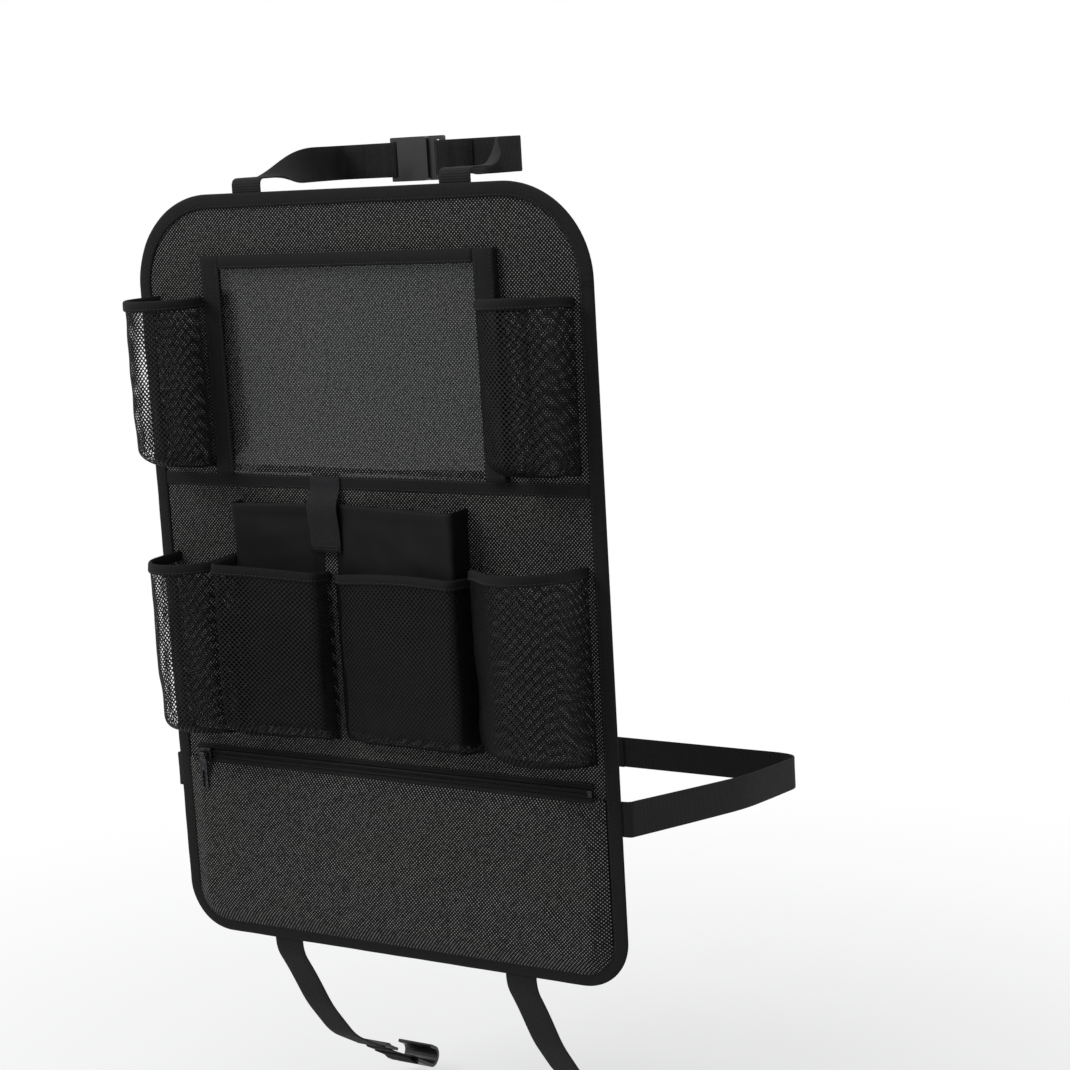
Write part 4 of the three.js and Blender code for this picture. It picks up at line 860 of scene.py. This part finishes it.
BELT_REACH, BELT_FRONT_Z, BELT_GLIDE_X = 342, BELT_Z - 52, -112


def seat_belt(name, side, bar_edge, glide_at=None):
    """From the panel's back along the seat's side, a little bulged, and round to the buckle in front."""
    corner, bulge, edge = 62, 14, PANEL_W / 2 + 8

    def at(x, y):
        return vec(x, y, BELT_Z + (BELT_FRONT_Z - BELT_Z) * y / BELT_REACH)

    along = [
        vec(PANEL_W / 2 - SEWN_L, BACK_LAY, BELT_Z), vec(edge, BACK_LAY, BELT_Z),
        at(edge + bulge * 0.6, BELT_REACH * 0.3), at(edge + bulge, BELT_REACH * 0.55),
        at(edge + bulge * 0.5, BELT_REACH * 0.8), at(edge, BELT_REACH), at(edge - corner, BELT_REACH),
    ]
    flip = vec(side, 1, 1)
    weave = through_glide(glide_at, X, Y) if glide_at is not None else []
    tail = [p * flip for p in doubled(vec(bar_edge, BELT_REACH, BELT_FRONT_Z), X, Y, TONGUE_T)]
    turn = rounded([p * flip for p in along], corner / 2, 10, first=6)
    route = [*turn, *rounded([turn[-1], *weave, *tail], TAIL_BEND)[1:]]
    webbing(f"{name}_webbing", name, route, lambda i: Z)


def foot_strap(name, side):
    """From the panel's back down and forward under the seat, through a glide to the hook."""
    bend, glide_run, hook_run = 14, 18, 52

    def at(y, height):
        return vec(side * FOOT_STRAP_X, y, up(height))

    path = [(15, -38), (37, -78), (70, -120), (104, -142)]
    along = unit(at(*path[-1]) - at(*path[-2]))
    normal = np.cross(X, along)
    glide_at = at(*path[-1]) + along * glide_run
    bar = glide_at + along * hook_run
    laid = rounded([at(BACK_LAY, SEWN_L), at(BACK_LAY, -13), *(at(*p) for p in path)], bend, first=10)
    tail = [*through_glide(glide_at, along, normal), *doubled(bar, -along, normal, HOOK_T)]
    route = [*laid, *rounded([laid[-1], *tail], TAIL_BEND)[1:]]
    webbing(f"{name}_webbing", name, route, lambda i: X)


headrest_strap("headrest_strap_left", -1, SOCKET_END)
headrest_strap("headrest_strap_right", 1, TONGUE_END)
seat_belt("seat_belt_left", -1, SOCKET_END, vec(BELT_GLIDE_X, BELT_REACH, BELT_FRONT_Z))
seat_belt("seat_belt_right", 1, TONGUE_END)
foot_strap("foot_strap_left", -1)
foot_strap("foot_strap_right", 1)

# The strap over the cloth pockets' mouths

STRAP_X, STRAP_W, STRAP_T, STRAP_FOOT = -42, 31, 1.2, up(357)
CROSS_LOW, CROSS_HIGH = CROSS_Z - CROSS_W / 2, CROSS_Z + CROSS_W / 2
SEWN, HANGS = FACE - CROSS_T - GAP - STRAP_T / 2, FACE - 6 - GAP - STRAP_T / 2  # y of its middle
strap_route = [
    (SEWN, CROSS_HIGH), (SEWN, CROSS_LOW - GAP), (HANGS - 4, up(CLOTH_BAG["mouth"])),
    (HANGS, STRAP_FOOT + 15.5), (HANGS, STRAP_FOOT),
]
webbing(
    "mouth_strap_ribbed", "mouth_strap", rounded([vec(STRAP_X, y, z) for y, z in strap_route], 9),
    lambda i: X, STRAP_W, STRAP_T, RIBBED)

# Window

WINDOW_LEFT, WINDOW_RIGHT, WINDOW_TOP = -152, 141, up(610)
FILM_BACK = FACE - 6
FILM_FRONT = FILM_BACK - 0.8
TAPE_BACK, TAPE_FRONT, SIDE_W = FILM_FRONT - GAP, FILM_FRONT - GAP - 1, 19
SEAM_Y = TAPE_FRONT - 0.12  # y of the stitches on the window's tapes
FILM_FOOT, FILM_TOP, FILM_BEND = CROSS_HIGH + GAP, WINDOW_TOP - 1 - GAP, 11


def film_piece():
    """One slack sheet of clear film that comes forward from the cross tape."""
    xs, bent = np.linspace(WINDOW_LEFT + 1.3, WINDOW_RIGHT - 1.3, 90), FILM_FOOT + FILM_BEND
    zs = [*np.linspace(FILM_FOOT, bent, 8)[:-1], *np.linspace(bent, FILM_TOP, 60)]
    x, z = np.meshgrid(xs, zs)
    rise = smooth((z - FILM_FOOT) / FILM_BEND)
    free = smooth(np.minimum(x - xs[0], xs[-1] - x) / 30)
    free = free * smooth((FILM_TOP - z) / 25) * smooth((z - FILM_FOOT - 8) / 25)
    y = FACE - 0.4 - (5.9 * rise) - 0.9 * free * waves(x, z * 0.45, 8, 190, 2)
    points = joined(x, y, z).reshape(-1, 3)
    piece = add_piece(
        "window_clear", points, grid_faces(*x.shape), FILM, replaces=["window_film"])


def window_side(name, edge, side):
    """Tape folded over one side of the film and down to the panel."""
    inner, lip = edge + side, edge + side * SIDE_W
    section = [
        (edge, FACE), (edge - 0.05 * side, -6), (edge, TAPE_FRONT + 0.5), (edge + 0.5 * side, TAPE_FRONT),
        (edge + 9 * side, SEAM_Y), (lip - 0.8 * side, TAPE_FRONT), (lip, TAPE_FRONT + 0.4), (lip, TAPE_BACK),
        (inner, TAPE_BACK), (inner, FACE),
    ]
    rings = []
    for z in np.linspace(FILM_FOOT, WINDOW_TOP, 50):
        ripple = 0.18 * waves(z, edge, 31, 50)
        rings.append([(x, y + (ripple if y < TAPE_BACK else 0), z) for x, y in section])
    tape_piece(f"{name}_folded", name, rings, flipped=side > 0)
    for x in (edge + 3 * side, edge + 16.8 * side):
        stitches.straight((x, SEAM_Y, FILM_FOOT + 1), (x, SEAM_Y, WINDOW_TOP - 1))


def window_hem():
    """Tape folded over the film's top edge, between the side tapes."""
    front, back, low = TAPE_FRONT, FILM_BACK + GAP, WINDOW_TOP - 12
    section = [
        (front + 0.4, low), (front, low + 0.6), (front - 0.1, low + 6), (front, WINDOW_TOP - 0.7),
        (front + 0.6, WINDOW_TOP), (back + 0.4, WINDOW_TOP), (back + 1, WINDOW_TOP - 0.6), (back + 1, low),
        (back, low), (back, FILM_TOP + GAP), (TAPE_BACK, FILM_TOP + GAP), (TAPE_BACK, low),
    ]
    xs = np.linspace(WINDOW_LEFT + SIDE_W + GAP, WINDOW_RIGHT - SIDE_W - GAP, 70)
    ripple = 0.12 * waves(xs, 1, 5, 60)
    rings = [[(x, y + r, z) for y, z in section] for x, r in zip(xs, ripple)]
    tape_piece("window_hem_folded", "window_hem", rings)
    stitches.straight((xs[0] + 1, SEAM_Y, low + 2), (xs[-1] - 1, SEAM_Y, low + 2))


film_piece()
window_side("window_tape_left", WINDOW_LEFT, 1)
window_side("window_tape_right", WINDOW_RIGHT, -1)
window_hem()

# Foot pocket and its zip

ZIP_LINE, ZIP_L, ZIP_R = up(166.5), -203, 203
POCKET_TOP, POCKET_LOW, POCKET_HALF, POCKET_R = ZIP_LINE - 5, up(9), 213.7, (3, 29)
ROLL, ROLL_CREASE = 14, 0.15  # width of the rounded edge, and how sharp its crease is


def foot_pocket():
    """A slack cloth pocket: flat where it is sewn, filled out a little between."""
    middle, half = (POCKET_TOP + POCKET_LOW) / 2, (POCKET_TOP - POCKET_LOW) / 2
    zs = rows_between(-half, half, *POCKET_R[::-1], 2.6)
    widths = half_width(zs, POCKET_HALF, half, *POCKET_R)
    s = np.linspace(-1, 1, 161)
    s = np.sign(s) * (1 - (1 - np.abs(s)) ** 1.15)
    x, z = s * widths[:, None], zs[:, None]
    inset = edge_distance(x, z, POCKET_HALF, half, *POCKET_R)
    left = 1 - (inset - 0.6) / ROLL
    rise = 1 - (left + np.sqrt(left ** 2 + ROLL_CREASE ** 2)) / 2
    soft = smooth((inset - 3) / 30)
    slack = 0.8 * waves(x * 0.5, z, 41, 85) + 0.5 * waves(x, z * 1.3, 42, 34, 2)
    corner = np.exp(-((np.abs(x) - 165) ** 2 + (z + 40) ** 2) / 1800)
    crease = corner * np.cos((np.abs(x) + z * 1.2) * 2 * math.pi / 26) * 0.7
    fullness = 6.4 + 3.2 * smooth((half - 62 - z) / 45)
    depth = 2.1 + fullness * rise + soft * (slack + crease)
    layers = (depth, np.maximum(depth - CLOTH_T, 0.1))
    points, faces = shell(*(joined(x, FACE - d, z + middle) for d in layers))
    piece = add_piece("foot_pocket_cloth", points, faces, WOVEN, replaces=["zip_pocket"])


ZIP_BACK, ZIP_FRONT = FACE - 2.2, FACE - 3.2
TOOTH_PITCH, TOOTH_Y = 1.5, FACE - 4.3


def zip_tape(name, side, sewn_back):
    """Half of the zip's tape, with a raised rib beside the teeth."""
    edge, lip = 8, 0.9
    section = [
        (sewn_back, edge), (sewn_back - 0.7, edge), (sewn_back - 1, edge - 0.5), (sewn_back - 1.05, 6.4),
        (sewn_back - 0.85, 6.1), (ZIP_FRONT - 0.15, 5), (ZIP_FRONT - 0.2, 4.6), (ZIP_FRONT - 0.02, 4.4),
        (ZIP_FRONT, lip + 0.2), (ZIP_FRONT + 0.2, lip), (ZIP_BACK, lip), (ZIP_BACK, 4), (sewn_back, 5),
    ]
    rings = []
    for x in np.linspace(ZIP_L, ZIP_R, 110):
        ripple = 0.15 * abs(waves(x, side * 9, 51, 70))
        rings.append([(x, y - (ripple if z > 4.5 else 0), ZIP_LINE + side * z) for y, z in section])
    tape_piece(f"{name}_woven", name, rings, flipped=side > 0)
    y, z = sewn_back - 1.08, ZIP_LINE + side * 6.9
    stitches.straight((ZIP_L + 1, y, z), (ZIP_R - 1, y, z))


def zip_coil(name, side):
    """Small nylon loops along one side of the zip, on a cord that joins them."""
    points, faces, sides = [], [], 5
    stations = [(3.05, 0.2, 0.1), (2.9, 0.48, 0.0), (1.2, 0.5, -0.18), (0.35, 0.6, -0.1), (0.1, 0.3, 0.1)]
    for x in np.arange(ZIP_L + 4.6, ZIP_R - 4.6, TOOTH_PITCH) + (TOOTH_PITCH / 2 if side > 0 else 0):
        first = len(points)
        for z, r, dy in stations:
            for turn in 2 * math.pi * np.arange(sides) / sides:
                y = TOOTH_Y + dy + r * math.sin(turn)
                points.append((x + r * math.cos(turn), y, ZIP_LINE + side * z))
        loop = grid_faces(len(stations), sides, first, wrap=True)
        loop += renumbered([range(sides)], first, flip=True)
        loop += renumbered([range(sides)], len(points) - sides)
        faces += renumbered(loop, flip=side < 0)
    spine = [(-0.45, 2.3), (-0.45, 3.05), (0.45, 3.05), (0.45, 2.3)]
    rings = [[(x, TOOTH_Y + y, ZIP_LINE + side * z) for y, z in spine] for x in (ZIP_L + 4.4, ZIP_R - 4.4)]
    cord, cord_faces, _ = loft(rings)
    faces += renumbered(cord_faces, len(points))
    add_piece(f"{name}_coil", [*points, *cord], faces, COIL, replaces=[name])


foot_pocket()
zip_tape("zip_tape_upper", 1, FACE)
zip_tape("zip_tape_lower", -1, ZIP_BACK - GAP)
zip_coil("zip_teeth_upper", 1)
zip_coil("zip_teeth_lower", -1)

# The last stitches: a crossed box on each end of webbing, and two rows on the strap's end

BOX_L, BOX_W, BOX_IN = 16, 24, 17  # along and across the webbing, and how far in from the panel's edge


def box_stitch(x, z, width, height):
    """A sewn box with a cross in it, on the back."""
    w, h, y = width / 2, height / 2, BACK_LAY + WEB_T / 2 + 0.05
    corners = [(-w, -h), (w, -h), (w, h), (-w, h), (-w, -h), (w, h)]
    for (a, b), (c, d) in [*zip(corners, corners[1:]), ((-w, h), (w, -h))]:
        stitches.straight((x + a, y, z + b), (x + c, y, z + d), Y, 3, 3.0)


for strap_x, z in ((TOP_STRAP_X, PANEL_H / 2 - BOX_IN), (FOOT_STRAP_X, BOX_IN - PANEL_H / 2)):
    for x in (-strap_x, strap_x):
        box_stitch(x, z, BOX_W, BOX_L)
for side in (-1, 1):
    box_stitch(side * (PANEL_W / 2 - BOX_IN), BELT_Z, BOX_L, BOX_W)
for z in (STRAP_FOOT + 2.5, STRAP_FOOT + 5):
    y = HANGS - STRAP_T / 2 - 0.05
    stitches.straight((STRAP_X - 13.5, y, z), (STRAP_X + 13.5, y, z), step=3, pitch=2.8)

add_piece("stitching", stitches.points, stitches.faces, THREAD)

# Pieces whose solids have the right shape keep it, with softened edges

for node, piece in frame["nodes"].items():
    if not piece.hide_render:
        metal = node.startswith("zip_")
        for slot in piece.material_slots:
            slot.link = "OBJECT"
            slot.material = METAL if metal else PLASTIC
        bevel = piece.modifiers.new("soft_edges", "BEVEL")
        bevel.width, bevel.segments = (0.2 if metal else 0.5) * MM, 2
        bevel.limit_method, bevel.angle_limit = "ANGLE", 0.6

# Camera, light and floor

PHOTO_SIDE, FOCAL, SENSOR = 1070, 2259.035, 36  # pixels, pixels, mm


def camera():
    """The camera as fitted to the panel's edges in the photograph."""
    turn = np.array([0.18468884, 0.52870924, -0.00952589])
    angle = np.linalg.norm(turn)
    x, y, z = turn / angle
    cross = np.array([[0, -z, y], [z, 0, -x], [-y, x, 0]])
    rotation = np.eye(3) + math.sin(angle) * cross + (1 - math.cos(angle)) * cross @ cross
    shift = np.array([-154.79376683, -283.3567457, 1853.43289291])
    centre = -rotation.T @ shift

    def world(v):
        """From the photo's axes, y down and z away, to the frame's."""
        return np.array([v[0], v[2], -v[1]])

    right, down, forward = (world(row) for row in rotation)
    place = world(centre) + np.array([0, FACE, PANEL_H / 2])
    data = bpy.data.cameras.new("camera")
    data.sensor_width = SENSOR
    data.lens = SENSOR * FOCAL / PHOTO_SIDE
    data.clip_start, data.clip_end = 0.05, 60
    eye = new_object("camera", data)
    basis = np.eye(4)
    basis[:3] = joined(right, -down, -forward, place * MM)
    eye.matrix_world = Matrix(basis.tolist())
    bpy.context.scene.camera = eye


def area_light(name, place, target, size, power):
    data = bpy.data.lights.new(name, "AREA")
    data.shape, data.size, data.energy = "DISK", size, power
    lamp = new_object(name, data)
    lamp.location = place
    lamp.rotation_mode = "QUATERNION"
    lamp.rotation_quaternion = (Vector(target) - Vector(place)).to_track_quat("-Z", "Y")


def floor_material():
    """Pale near the object, where its shadow falls, and plain white to the eye further off."""
    n = Nodes("floor")
    n.finish(linear(244, 244, 245), 0.9, Specular_IOR_Level=0.1)
    x, y, _ = n.coordinates("object")
    far = n.math("SQRT", n.math("ADD", n.times(x, x), n.times(y, y)))
    white = n.add("ShaderNodeEmission")
    n.blend(n.times(n.backdrop_rays(), n.range(far, 0.2, 1.3, 0.62)), n.shader, white)
    return n.owner


def stage():
    """A pale world and floor, seen as white, with three lamps."""
    scene = bpy.context.scene
    sky = Nodes("studio", world=True)
    scene.world = sky.owner
    sky.value(sky.shader.inputs["Color"], (0.9, 0.93, 1.0, 1))
    sky.value(sky.shader.inputs["Strength"], 0.27)
    white = sky.add("ShaderNodeBackground", dict(Color=(1, 1, 1, 1)))
    sky.blend(sky.backdrop_rays(), sky.shader, white)

    reach, floor_z = 14.0, cad_box[0][2] - 0.012
    corners = [(x * reach, y * reach, floor_z) for x, y in ((-1, -1), (1, -1), (1, 1), (-1, 1))]
    mesh = bpy.data.meshes.new("floor")
    mesh.from_pydata(corners, [], [(0, 1, 2, 3)])
    mesh.materials.append(floor_material())
    new_object("floor", mesh)

    scene.view_settings.view_transform = "Standard"
    area_light("key", (-1.4, -1.9, 1.9), (0, 0, 0), 1.4, 48)
    area_light("fill", (2.3, -1.8, 0.7), (0, 0, 0), 1.8, 3)
    area_light("top", (0.1, -0.5, 2.4), (0, 0, 0.1), 1.6, 24)


camera()
stage()
